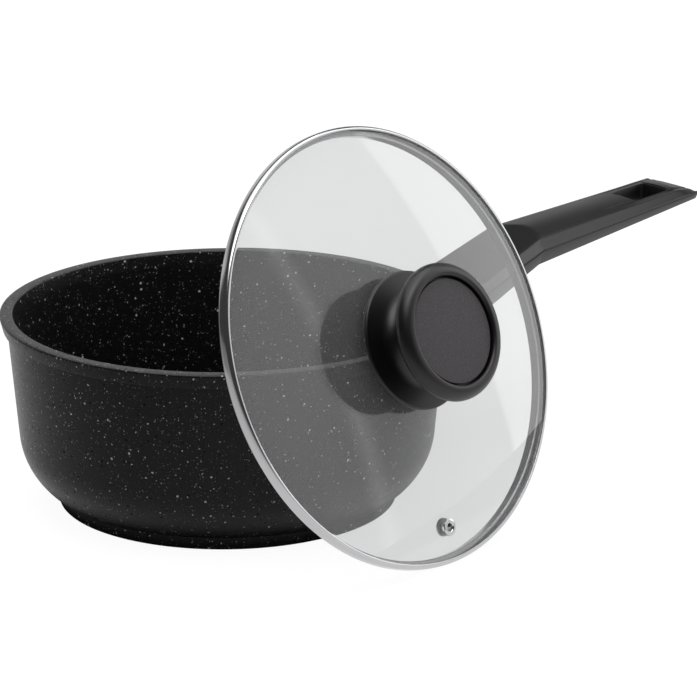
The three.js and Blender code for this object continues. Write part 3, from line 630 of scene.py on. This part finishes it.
def lid_glass():
    """Clear glass with a faint grey tint, which lets light through to what stands behind it."""
    finishes = bpy.context.scene.saucepan_finishes
    material, shader = new_material("lid_glass")

    def mixed(factor, first, second):
        return shader.add("ShaderNodeMixShader", {0: factor, 1: first, 2: second})[0]

    surface = shader.add("ShaderNodeBsdfPrincipled", {
        "Base Color": scaled(finishes.glass), "Roughness": 0.0, "IOR": 1.52,
        "Transmission Weight": 1.0})[0]
    haze = shader.add("ShaderNodeBsdfDiffuse", {"Color": HAZE_COLOUR})[0]
    clear = shader.add("ShaderNodeBsdfTransparent", {"Color": SHADOW_TINT})[0]
    in_shadow = shader.add("ShaderNodeLightPath")["Is Shadow Ray"]
    finish_material(shader, mixed(in_shadow, mixed(finishes.haze, surface, haze), clear))
    return material


def silicone():
    """Milky silicone of the washers and pads."""
    return grained("silicone", "silicone", (0.9, 1.0), 1400.0, 2.0, Roughness=0.5, IOR=1.41,
                   **{"Subsurface Weight": 0.2})


def brass():
    """Plain turned brass."""
    return grained("brass", "brass", (0.85, 1.0), 1800.0, 3.0, rough=(0.28, "Height", 0.12),
                   Metallic=1.0)


def finish(name):
    """A finish by name, made the first time that it is asked for."""
    makers = {maker.__name__: maker for maker in (
        coated_casting, bakelite, disc_plastic, polished_steel, fastener_steel, base_steel,
        lid_glass, silicone, brass)}
    return bpy.data.materials.get(FINISH_NAME + name) or makers[name]()


# ---- pan


def wall_radius(sizes, height):
    """Outer radius of the drafted wall at a height."""
    top = sizes.rim_radius - sizes.band_taper - sizes.band_step
    return top - (PAN_HEIGHT - sizes.band_height - height) * tan(sizes.draft)


def pan_outline(sizes):
    """Section of the pan, from the middle of its underside round to the middle of its floor."""
    plate_radius, _, plate_top = reach("base_plate", PAN_FRAME)
    pocket, pocket_top = plate_radius + FIT_GAP, plate_top + FIT_GAP
    slope = sizes.draft
    middle = (wall_radius(sizes, sizes.corner_height) - sizes.corner_radius * cos(slope),
              sizes.corner_height + sizes.corner_radius * sin(slope))
    start = asin((sizes.edge_height - middle[1]) / sizes.corner_radius)
    corner = arc(middle, sizes.corner_radius, start, -slope, 28)
    band_bottom = PAN_HEIGHT - sizes.band_height
    wall_top = wall_radius(sizes, band_bottom)
    band_radius = sizes.rim_radius - sizes.band_taper
    thickness = sizes.wall / cos(slope)
    inner = sizes.floor + sizes.inner_corner * (1 - sin(slope))
    inner_middle = (wall_radius(sizes, inner) - thickness - sizes.inner_corner * cos(slope),
                    sizes.floor + sizes.inner_corner)
    inner_corner = arc(inner_middle, sizes.inner_corner, -slope, -pi / 2, 24)
    outside = rounded([
        (0, pocket_top),
        (pocket, pocket_top),
        (pocket, 0, 0.2 * MM),
        (sizes.foot_radius, 0, 0.9 * MM),
        (sizes.foot_radius, sizes.edge_height - 0.8 * MM, 0.6 * MM),
        (*corner[0], 0.7 * MM),
        corner[2],
    ])[:-1]
    rim = rounded([
        corner[-1],
        (wall_top, band_bottom, 1.1 * MM),
        (band_radius, band_bottom, 0.5 * MM),
        (sizes.rim_radius, PAN_HEIGHT, 1.1 * MM),
        (sizes.rim_opening, PAN_HEIGHT, 0.9 * MM),
        (wall_radius(sizes, band_bottom) - thickness, band_bottom, 6 * MM),
        inner_corner[0],
    ], 8)[1:-1]
    return outside + corner[2:] + rim + inner_corner + [(0, sizes.floor)]


def build_pan(context):
    """Builds the pan's body and the lug that carries the handle."""
    sizes = context.scene.saucepan_pan
    handle = context.scene.saucepan_handle
    add_piece("pan_shell", revolved(pan_outline(sizes), 256), PAN_FRAME, "pan", "coated_casting",
              "pan_body")
    wall = wall_radius(sizes, handle.root_height)
    start, end = wall - 3 * MM, HANDLE_ROOT - FIT_GAP
    flare = 7 * MM
    rings = []
    for step in range(13):
        x = start + (end - start) * step / 12
        spread = max(0.0, 1 - (x - wall) / flare)
        rings.append(handle_ring(handle, x, 0.8 * MM - 2.6 * MM * min(1.0, spread) ** 2))
    add_piece("pan_lug", skinned(rings), PAN_FRAME, "pan", "coated_casting")


# ---- handle

# Half widths and heights of the handle's section, in millimetres. Ridges are the datum. The top
# rises from a crease to a shoulder at the slot's side, then to a crown in the middle.
SECTIONS = {
    "root": {"ridge": 25.4, "crease": 21.8, "base": 22.5, "drop": 13.2, "rise": 2.2,
             "shoulder": 1.6, "bow": 0.5, "crown": 0.7},
    "bend": {"ridge": 22.4, "crease": 17.5, "base": 18.9, "drop": 8.2, "rise": 3.8,
             "shoulder": 1.6, "bow": 0.5, "crown": 0.7},
    "end": {"ridge": 18.5, "crease": 12.5, "base": 16.9, "drop": 4.0, "rise": 2.2,
            "shoulder": 0.4, "bow": 0.0, "crown": 0.4},
}
NECK_TRIM = 0.15 * MM
TONGUE_STEPS = 6  # facets from the middle to the slot's side
STRIP_STEPS = 4  # facets from the slot's side to the crease
UNDER_STEPS = 4
UNDER_BULGE = 1.2 * MM
UNDER_CORNER = ((-1.2, -0.1), (-0.25, 0.3), (0.15, 1.1))  # out and up from the lower corner
RIDGE_ROUND = 0.7 * MM


def ridge_height(handle, x):
    """Height of the side ridges."""
    neck = min(x, handle.bend_x) - HANDLE_ROOT
    grip = max(0.0, x - handle.bend_x)
    return handle.root_height + neck * tan(handle.neck_rise) + grip * tan(handle.grip_rise)


def section(handle, x):
    """The section's sizes in metres at a distance from the pan's axis."""
    if x <= handle.bend_x:
        near, far = SECTIONS["root"], SECTIONS["bend"]
        part = (x - HANDLE_ROOT) / (handle.bend_x - HANDLE_ROOT)
    else:
        near, far = SECTIONS["bend"], SECTIONS["end"]
        part = (x - handle.bend_x) / (HANDLE_END - handle.bend_x)
    return {key: (near[key] + (far[key] - near[key]) * part) * MM for key in near}


def neck_plane(handle, x):
    """Height of the neck's flat top."""
    part = (x - HANDLE_ROOT) / (handle.bend_x - HANDLE_ROOT)
    bend = ridge_height(handle, handle.bend_x)
    rise = SECTIONS["root"]["rise"] + (SECTIONS["bend"]["rise"] - SECTIONS["root"]["rise"]) * part
    return handle.root_height + (bend - handle.root_height) * part + rise * MM - NECK_TRIM


def soft_minimum(first, second, blend):
    """The lower of two heights, with a rounded change between them."""
    mix = max(0.0, min(1.0, 0.5 + 0.5 * (second - first) / blend))
    return second + (first - second) * mix - blend * mix * (1 - mix)


def strip_sink(handle, x):
    """How far the strips beside the slot lie below the tongue that ends at the slot."""
    part = (x - handle.slot_start + handle.strip_length) / handle.strip_length
    return handle.strip_depth * max(0.0, min(1.0, part)) ** 1.3


def handle_ring(handle, x, margin=0.0, top_share=1.0):
    """One closed ring of the handle's surface, drawn in by a margin, its top lowered by a share."""
    size = section(handle, x)
    ridge = ridge_height(handle, x)
    crease = size["crease"] - margin
    slot = handle.slot_half_width
    sink = strip_sink(handle, x)

    def top(height):
        level = ridge + top_share * (size["rise"] + height)
        if x < handle.bend_x + 14 * MM:
            level = soft_minimum(level, neck_plane(handle, x), 0.3 * MM)
        return level - margin

    def strip(y):
        part = (y - slot) / (crease - slot)
        arch = size["shoulder"] * (1 - part) + 2 * size["bow"] * part * (1 - part)
        return top(arch - sink * (1 - part ** 3))

    def tongue(y):
        return top(size["shoulder"] + size["crown"] * (1 - (y / slot) ** 2))

    under = ridge - size["drop"] + margin
    base = size["base"] - margin
    wide = size["ridge"] - margin
    flank = Vector((wide - crease, ridge - top(0))).normalized()
    edge = RIDGE_ROUND
    side = [
        *((base + out * MM, under + up * MM) for out, up in UNDER_CORNER),
        *((bend(wide - 0.1 * MM, wide, wide - flank.x * edge, i / 5),
           bend(ridge - edge, ridge, ridge - flank.y * edge, i / 5)) for i in range(6)),
        (wide - flank.x * 2 * edge, ridge - flank.y * 2 * edge),
        ((crease + wide) / 2 + handle.flank_bow * flank.y,
         (top(0) + ridge) / 2 - handle.flank_bow * flank.x),
        (crease + flank.x * 0.4 * MM, top(0) + flank.y * 0.4 * MM),
    ]
    below = [side[0][0] * i / UNDER_STEPS for i in range(UNDER_STEPS)]
    half = [(y, under - UNDER_BULGE * (1 - (y / base) ** 2)) for y in below] + side
    for part in (0.06, *(i / STRIP_STEPS for i in range(1, STRIP_STEPS + 1))):
        y = crease - (crease - slot) * part
        half.append((y, strip(y)))
    half += [(slot * part, tongue(slot * part))
             for part in (0.985, *(1 - i / TONGUE_STEPS for i in range(1, TONGUE_STEPS + 1)))]
    return [(x, y, z) for y, z in half + [(-y, z) for y, z in reversed(half[1:-1])]]


def spaced(start, stop, step):
    """Distances a step apart, from start to before stop."""
    return [start + step * i for i in range(ceil((stop - start) / step))]


def build_handle(context):
    """Builds the moulded handle with its hanging slot and screw recess."""
    handle = context.scene.saucepan_handle
    start, end, turn = HANDLE_ROOT, HANDLE_END, handle.bend_x
    near, far = handle.slot_start, handle.slot_start + handle.slot_length
    tip = end - handle.tip_length
    stations = [start, start + 0.4 * MM, *spaced(start + 6 * MM, turn - 6 * MM, 6 * MM),
                *(turn + offset * MM for offset in range(-5, 15)),
                *spaced(turn + 19 * MM, near - 5 * MM, 4 * MM),
                near - 1.5 * MM, near + 1.5 * MM, (near + far) / 2, far - 1.5 * MM, tip]
    rings = [handle_ring(handle, x, 0.4 * MM if x == start else 0.0) for x in stations]
    slope = handle.tip_length - 0.6 * MM
    for part in (0.08, 0.3, 0.55, 0.8, 1.0):
        rings.append(handle_ring(handle, tip + slope * part, 0.0, 1 - 0.8 * part ** 1.15))
    rings.append(handle_ring(handle, end - 0.15 * MM, 0.15 * MM, 0.15))
    rings.append(handle_ring(handle, end, 0.55 * MM, 0.05))
    body = add_piece("handle", skinned(rings), PAN_FRAME, "pan", "bakelite", "handle_body")
    cut(body, slot_cutter(handle))
    cut(body, recess_cutter(handle))


def slot_cutter(handle):
    """Prism of the hanging slot, flared where it meets the top and the underside."""
    middle = handle.slot_start + handle.slot_length / 2
    size = section(handle, middle)
    slope = tan(handle.grip_rise)
    top = ridge_height(handle, middle) + size["rise"]
    under = ridge_height(handle, middle) - size["drop"] - UNDER_BULGE
    lip, draft = handle.slot_lip, handle.slot_draft
    levels = [(under - 2 * MM, lip - draft), (under, lip - draft), (under + lip, -draft),
              (top - 0.6 * lip, 0.0), (top, 0.3 * lip), (top + 0.5 * lip, lip),
              (top + 2 * MM, lip)]
    rings = []
    for height, grow in levels:
        half_x, half_y = handle.slot_length / 2 + grow, handle.slot_half_width + grow
        outline = rounded([(side_x * half_x, side_y * half_y, handle.slot_corner)
                           for side_x, side_y in ((-1, -1), (1, -1), (1, 1), (-1, 1))], 6)
        rings.append([(middle + x, y, height + slope * x) for x, y in outline])
    return skinned(rings)


def recess_cutter(handle):
    """Bore in the underside for the handle's screw."""
    low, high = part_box("handle_lock_washer")
    radius = (high.y - low.y) / 2 + 0.8 * MM
    tilt = Matrix.Rotation(-handle.neck_rise, 4, "Y")
    return bore(radius, -20 * MM, 3 * MM, Matrix.Translation(centre("handle_screw")) @ tilt, 64)


# ---- lid


def glass_rim(sizes):
    """Radius of the glass's edge, inside the band."""
    return LID_RADIUS - sizes.metal - FIT_GAP


def dome(sizes):
    """Radius of the flat margin's inner edge, and curvature and middle of the dome's top."""
    edge = glass_rim(sizes) - sizes.flat_width
    rise = GLASS_CROWN - sizes.glass / 2
    curve = (edge ** 2 + rise ** 2) / (2 * rise)
    return edge, curve, GLASS_CROWN - curve


def vent_frame(sizes):
    """Frame of the vent: +Z out of the glass, origin on the glass's upper face."""
    _, curve, middle = dome(sizes)
    tilt = asin(sizes.vent_at / curve)
    height = middle + sqrt(curve ** 2 - sizes.vent_at ** 2)
    place = Matrix.Translation((sizes.vent_at, 0, height))
    return LID_FRAME @ place @ Matrix.Rotation(tilt, 4, "Y")


def build_glass(context):
    """Builds the domed glass with its centre bore and its vent bore."""
    sizes = context.scene.saucepan_lid
    edge, curve, middle = dome(sizes)
    rim, half = glass_rim(sizes), sizes.glass / 2
    bore_radius = 3.0 * MM
    inner, outer = sizes.vent_at - 8 * MM, sizes.vent_at + 9 * MM
    radii = [bore_radius + (inner - bore_radius) * i / 18 for i in range(18)]
    radii += [sizes.vent_at + offset * MM for offset in range(-8, 9)]
    radii += [outer + (edge - outer) * i / 4 for i in range(5)]

    def face(radius, depth):
        return radius, middle + sqrt((curve - depth) ** 2 - radius ** 2)

    chamfer = 0.6 * MM
    border = [(rim - chamfer, half), (rim - 0.2 * chamfer, half - 0.2 * chamfer),
              (rim, half - chamfer)]
    outline = [face(radius, 0) for radius in radii] + border
    outline += [(radius, -height) for radius, height in reversed(border)]
    outline += [face(radius, sizes.glass) for radius in reversed(radii)]
    glass = add_piece("glass_disc", revolved(outline, 256), LID_FRAME, "lid", "lid_glass",
                      "lid_glass")
    cut(glass, bore(sizes.vent_hole + 0.9 * MM, -9 * MM, 3 * MM, vent_frame(sizes), 48))


def build_band(context):
    """Builds the rolled steel band: outer wall, crimped upper lip, seat and insertion lip."""
    sizes = context.scene.saucepan_lid
    metal = sizes.metal
    half = sizes.glass / 2 + FIT_GAP + metal
    lip_radius = LID_RADIUS - sizes.seat_width
    inner = LID_RADIUS - metal
    top_radius = LID_RADIUS - sizes.top_width
    bottom = -half - sizes.lip_depth
    glass_top = sizes.glass / 2
    wide, tall = 1.7 * MM, 2.0 * MM
    roll = arc((LID_RADIUS - wide, half - tall), wide, 0, pi / 2, 10, tall)
    outline = rounded([
        (LID_RADIUS - 0.1 * MM, -half, 1.0 * MM),
        *roll,
        (top_radius, half - 0.1 * MM, 0.15 * MM),
        (top_radius, glass_top + 0.05 * MM, 0.15 * MM),
        (inner - 0.5 * MM, glass_top + 0.15 * MM),
        (inner, half - metal - 0.4 * MM, 0.3 * MM),
        (inner, metal - half, 0.5 * MM),
        (lip_radius - metal, metal - half, 0.9 * MM),
        (lip_radius - metal, bottom, 0.28 * MM),
        (lip_radius, bottom, 0.28 * MM),
        (lip_radius, -half, 0.4 * MM),
    ], 6)
    add_piece("steel_band", revolved(outline, 320), LID_FRAME, "lid", "polished_steel",
              "lid_rim_band")


def build_vent(context):
    """Builds the vent's eyelet and dresses its washer."""
    sizes = context.scene.saucepan_lid
    hole, flange = sizes.vent_hole, sizes.vent_flange
    barrel = hole + 0.6 * MM
    below = -sizes.glass - 1.7 * MM
    outline = rounded([
        (hole, below - 0.6 * MM, 0.3 * MM),
        (barrel + 0.7 * MM, below - 0.6 * MM, 0.25 * MM),
        (barrel + 0.7 * MM, below, 0.2 * MM),
        (barrel, below),
        (barrel, 0.3 * MM),
        (flange, 0.3 * MM, 0.1 * MM),
        (flange - 0.1 * MM, 0.8 * MM, 0.3 * MM),
        (flange - 1.0 * MM, 1.1 * MM, 0.6 * MM),
        (barrel, 1.1 * MM, 0.4 * MM),
        (hole, 0.6 * MM, 0.4 * MM),
    ], 4)
    add_piece("vent_ring", revolved(outline, 96), vent_frame(sizes), "lid", "polished_steel",
              "vent_eyelet")
    dress("fastener_steel", "vent_washer")


# ---- knob


def knob_outline(sizes):
    """Section of the knob: flange, hollow neck, smooth ring and recess."""
    _, foot, crest = reach("knob_body", LID_FRAME)
    disc_radius, disc_bottom, _ = reach("knob_disc", LID_FRAME)
    recess_radius, recess = disc_radius + sizes.disc_gap, disc_bottom - FIT_GAP
    insert_radius, _, insert_top = reach("knob_insert", LID_FRAME)
    pocket, pocket_top = insert_radius + FIT_GAP, insert_top + FIT_GAP
    flange, edge = foot + sizes.flange_height, 1.1 * MM
    head, bead = foot + sizes.head_height, 2.6 * MM
    step = head - 6.2 * MM
    hollow_radius = sizes.neck_radius + sizes.neck_hollow
    step_radius = hollow_radius + 2 * MM
    hollow_middle, hollow_half = (flange + edge + step) / 2, (step - flange - edge) / 2
    neck = arc((hollow_radius, hollow_middle), -sizes.neck_hollow, -pi / 2, pi / 2, 20, hollow_half)
    lower = rounded([
        (0, pocket_top),
        (pocket, pocket_top),
        (pocket, foot),
        (sizes.foot_radius, foot, 0.8 * MM),
        (sizes.flange_radius - 1.5 * MM, flange - edge, 2 * MM),
        (sizes.flange_radius, flange),
    ])[:-1]
    flange_edge = arc((sizes.flange_radius - edge, flange), edge, -pi / 2, pi / 2, 10)
    under_head = rounded([
        neck[-2],
        (step_radius, step, 0.35 * MM),
        (step_radius, step + 1.2 * MM, 0.3 * MM),
        (sizes.head_radius - bead + 1.3 * MM, head - 2.25 * MM),
    ])[1:-1]
    bead_edge = arc((sizes.head_radius - bead, head), bead, -pi / 3, 0, 8)
    ring_middle = sizes.head_radius - sizes.ring_round
    ring = arc((ring_middle, crest - sizes.ring_round), sizes.ring_round, 0, pi / 2, 18)
    inner = ring_middle - recess_radius
    ring += arc((ring_middle, crest - inner), inner, pi / 2, pi, 8)[1:]
    ring += [(recess_radius, recess), (0, recess)]
    return lower + flange_edge + neck[1:] + under_head + bead_edge + ring


def build_knob(context):
    """Builds the knob and the disc set into it."""
    sizes = context.scene.saucepan_knob
    add_piece("knob", revolved(knob_outline(sizes), 192), LID_FRAME, "lid", "bakelite", "knob_body")
    radius, bottom, _ = reach("knob_disc", LID_FRAME)
    top = reach("knob_body", LID_FRAME)[2] - sizes.disc_sink
    outline = rounded([(0, bottom), (radius, bottom, 0.2 * MM), (radius, top, 0.35 * MM),
                       (0, top)])
    add_piece("knob_inlay", revolved(outline, 160), LID_FRAME, "lid", "disc_plastic", "knob_disc")


# ---- stage


def look(item, direction):
    """Turns a camera or a lamp to a direction."""
    item.rotation_mode = "QUATERNION"
    item.rotation_quaternion = direction.to_track_quat("-Z", "Y")


def build_camera(stage):
    """Places the camera."""
    data = bpy.data.cameras.new("camera")
    data.lens, data.sensor_width = stage.lens, 36.0
    data.clip_start, data.clip_end = 0.01, 100.0
    camera = put("camera", data)
    level = cos(stage.elevation)
    back = Vector((level * cos(stage.azimuth), level * sin(stage.azimuth), sin(stage.elevation)))
    camera.location = Vector(stage.target) + back * stage.distance
    look(camera, -back)
    bpy.context.scene.camera = camera


# Soft panels of the studio, as the mirrors of the object show them: azimuth and elevation of the
# middle, half width, half height and softness of the edge in degrees, and strength.
PANELS = {
    "right": (-33, 14, 46, 24, 6, 0.9),
    "right_front": (-16, 16, 10, 34, 1, 2.5),
    "streak": (-46, 14, 1, 30, 4, 2.7),
    "over_right": (-10, 54, 40, 12, 6, 1.4),
    "overhead": (-100, 70, 60, 10, 8, 4.0),
    "behind": (20, 10, 95, 10, 4, 0.75),
}
CEILING = 0.06


def studio_group():
    """Brightness of the studio by direction: soft panels before a dark room."""
    shader, given = new_group("Studio", {"Direction": None}, "Light")
    x, y, z = (shader.axis(given["Direction"], name) for name in "XYZ")
    azimuth = shader.math("ARCTAN2", y, x)
    elevation = shader.math("ARCSINE", z)
    light = CEILING
    for middle, level, wide, high, soft, strength in PANELS.values():
        aside = shader.math("WRAP", shader.math("SUBTRACT", azimuth, radians(middle)), pi, -pi)
        above = shader.math("SUBTRACT", elevation, radians(level))
        shown = [shader.ramp(shader.math("ABSOLUTE", offset), radians(half + soft),
                             radians(half - soft))
                 for offset, half in ((aside, wide), (above, high))]
        panel = shader.math("MULTIPLY", shader.math("MULTIPLY", *shown), strength)
        light = shader.math("MAXIMUM", panel, light)
    shader.add("NodeGroupOutput", {"Light": light})
    return shader.tree


def build_world(stage):
    """Even room light, with the studio's panels in mirrors and white behind the object."""
    world = bpy.data.worlds.new("room")
    world.use_nodes = True
    world.node_tree.nodes.clear()
    shader = Shader(world.node_tree)
    path, clear = shader.paths()
    direction = shader.add("ShaderNodeTexCoord")["Generated"]
    studio = shader.add("ShaderNodeGroup", {"Direction": direction}, node_tree=studio_group())
    light = shader.mix(path["Is Glossy Ray"], (*(stage.room_light,) * 3, 1.0), studio["Light"])
    light = shader.mix(clear, light, (1.0, 1.0, 1.0, 1.0))
    background = shader.add("ShaderNodeBackground", {"Color": light, "Strength": 1.0})
    shader.add("ShaderNodeOutputWorld", {"Surface": background[0]})
    bpy.context.scene.world = world


# Where mirrors show the floor bright, as distances from dark to bright: under the base and beyond
# it from the pan's axis, fading far off, and along X. This glow is painted light and shade: the
# dark ring round the foot is a painted shadow of the pan, the bright patch under the base is
# painted light for the base plate's reflection, and the fade far off and towards -X is painted
# shade.
GLOW_UNDER = (72 * MM, 66 * MM)
GLOW_BEYOND = (80 * MM, 100 * MM)
GLOW_FADE = (700 * MM, 450 * MM)
GLOW_ALONG = (-400 * MM, 100 * MM)
FLOOR_WHITE = 0.94  # as the camera sees it
FLOOR_SHADE = 0.14  # share of the light that it throws back
FLOOR_HALF = 12.0


def build_floor():
    """Pale floor that shows white, keeps a soft shadow and is open from below."""
    mesh = bmesh.new()
    bmesh.ops.create_grid(mesh, x_segments=2, y_segments=2, size=FLOOR_HALF)
    material, shader = new_material("floor")
    path, clear = shader.paths()
    place = shader.place()
    apart = shader.apart(place)
    # painted shadow round the foot and painted light under the base, in what mirrors see of the
    # floor
    glow = shader.math("MAXIMUM", shader.ramp(apart, *GLOW_BEYOND), shader.ramp(apart, *GLOW_UNDER))
    glow = shader.math("MULTIPLY", glow, path["Is Glossy Ray"])
    # painted shade: the floor's glow in mirrors fades towards -X and far off
    for value, least in ((shader.ramp(shader.axis(place, "X"), *GLOW_ALONG), 0.5),
                         (shader.ramp(apart, *GLOW_FADE), 0.4)):
        glow = shader.math("MULTIPLY", glow, shader.math("MULTIPLY_ADD", value, 1.0 - least, least))
    shown = shader.math("MULTIPLY", shader.math("MAXIMUM", clear, glow), FLOOR_WHITE)
    matte = shader.add("ShaderNodeBsdfDiffuse", {"Color": (*(FLOOR_SHADE,) * 3, 1.0)})
    bright = shader.add("ShaderNodeEmission", {"Color": (1, 1, 1, 1), "Strength": shown})
    above = shader.add("ShaderNodeAddShader", {0: matte[0], 1: bright[0]})
    below = shader.add("ShaderNodeBsdfTransparent")
    from_below = shader.add("ShaderNodeNewGeometry")["Backfacing"]
    surface = shader.add("ShaderNodeMixShader", {0: from_below, 1: above[0], 2: below[0]})
    finish_material(shader, surface[0])
    floor = put("floor", mesh_data("floor", mesh))
    floor.data.materials.append(material)
    floor.location.z = CAD_LOW.z


LAMP_PLACE = (100 * MM, 100 * MM)
LAMP_AIM = (50 * MM, 0, 0)


def build_lamp(stage):
    """Places the soft square lamp overhead."""
    data = bpy.data.lights.new("top_lamp", "AREA")
    data.shape, data.size, data.size_y = "RECTANGLE", stage.lamp_size, stage.lamp_size
    data.energy = stage.lamp_power
    lamp = put("top_lamp", data)
    lamp.location = (*LAMP_PLACE, stage.lamp_height)
    look(lamp, Vector(LAMP_AIM) - lamp.location)


# ---- operators


class SAUCEPAN_OT_pan(bpy.types.Operator):
    """Build the coated pan with its handle lug"""

    bl_idname = "saucepan.pan"
    bl_label = "Pan"

    def execute(self, context):
        build_pan(context)
        return {"FINISHED"}


class SAUCEPAN_OT_base_plate(bpy.types.Operator):
    """Dress the steel disc in the underside"""

    bl_idname = "saucepan.base_plate"
    bl_label = "Base plate"

    def execute(self, context):
        dress("base_steel", "base_plate")
        return {"FINISHED"}


class SAUCEPAN_OT_handle(bpy.types.Operator):
    """Build the moulded handle"""

    bl_idname = "saucepan.handle"
    bl_label = "Handle"

    def execute(self, context):
        build_handle(context)
        return {"FINISHED"}


class SAUCEPAN_OT_handle_fixings(bpy.types.Operator):
    """Dress the handle's screw and its washer"""

    bl_idname = "saucepan.handle_fixings"
    bl_label = "Handle fixings"

    def execute(self, context):
        dress("fastener_steel", "handle_screw", "handle_lock_washer")
        return {"FINISHED"}


class SAUCEPAN_OT_lid_glass(bpy.types.Operator):
    """Build the domed glass"""

    bl_idname = "saucepan.lid_glass"
    bl_label = "Lid glass"

    def execute(self, context):
        build_glass(context)
        return {"FINISHED"}


class SAUCEPAN_OT_lid_band(bpy.types.Operator):
    """Build the steel band round the glass"""

    bl_idname = "saucepan.lid_band"
    bl_label = "Lid band"

    def execute(self, context):
        build_band(context)
        return {"FINISHED"}


class SAUCEPAN_OT_vent(bpy.types.Operator):
    """Build the steam vent"""

    bl_idname = "saucepan.vent"
    bl_label = "Vent"

    def execute(self, context):
        build_vent(context)
        return {"FINISHED"}


class SAUCEPAN_OT_knob(bpy.types.Operator):
    """Build the knob and its disc"""

    bl_idname = "saucepan.knob"
    bl_label = "Knob"

    def execute(self, context):
        build_knob(context)
        return {"FINISHED"}


class SAUCEPAN_OT_knob_fixings(bpy.types.Operator):
    """Dress the knob's screw, washers, pad and insert"""

    bl_idname = "saucepan.knob_fixings"
    bl_label = "Knob fixings"

    def execute(self, context):
        dress("fastener_steel", "knob_screw", "knob_steel_washer")
        dress("silicone", "knob_seal_washer", "knob_gasket")
        dress("brass", "knob_insert")
        return {"FINISHED"}


class SAUCEPAN_OT_stage(bpy.types.Operator):
    """Set the camera, the floor and the light"""

    bl_idname = "saucepan.stage"
    bl_label = "Stage"

    def execute(self, context):
        stage = context.scene.saucepan_stage
        build_camera(stage)
        build_world(stage)
        build_floor()
        build_lamp(stage)
        context.scene.view_settings.view_transform = "Standard"
        return {"FINISHED"}


BUILD_STEPS = (
    SAUCEPAN_OT_pan, SAUCEPAN_OT_base_plate, SAUCEPAN_OT_handle, SAUCEPAN_OT_handle_fixings,
    SAUCEPAN_OT_lid_glass, SAUCEPAN_OT_lid_band, SAUCEPAN_OT_vent, SAUCEPAN_OT_knob,
    SAUCEPAN_OT_knob_fixings, SAUCEPAN_OT_stage)
SETTINGS = {
    "saucepan_pan": PanSizes, "saucepan_handle": HandleSizes, "saucepan_lid": LidSizes,
    "saucepan_knob": KnobSizes, "saucepan_finishes": Finishes, "saucepan_stage": StageSettings}


class SAUCEPAN_PT_build(bpy.types.Panel):
    """Lists the build steps and their settings"""

    bl_idname = "SAUCEPAN_PT_build"
    bl_label = "Saucepan"
    bl_space_type = "VIEW_3D"
    bl_region_type = "UI"
    bl_category = "Saucepan"

    def draw(self, context):
        for step in BUILD_STEPS:
            self.layout.operator(step.bl_idname)
        for name, kind in SETTINGS.items():
            box = self.layout.box()
            box.label(text=kind.__doc__)
            for key in kind.__annotations__:
                box.prop(getattr(context.scene, name), key)


def register():
    """Registers the settings, the build steps and the panel."""
    for kind in (*SETTINGS.values(), *BUILD_STEPS, SAUCEPAN_PT_build):
        bpy.utils.register_class(kind)
    for name, kind in SETTINGS.items():
        setattr(bpy.types.Scene, name, PointerProperty(type=kind))


def unregister():
    """Takes back what register did."""
    for name in SETTINGS:
        delattr(bpy.types.Scene, name)
    for kind in (SAUCEPAN_PT_build, *reversed(BUILD_STEPS), *reversed(SETTINGS.values())):
        bpy.utils.unregister_class(kind)


def main():
    """Registers the settings, build steps and panel, then runs each build step in turn."""
    register()
    for step in BUILD_STEPS:
        group, name = step.bl_idname.split(".")
        getattr(getattr(bpy.ops, group), name)()


if __name__ == "__main__":
    main()
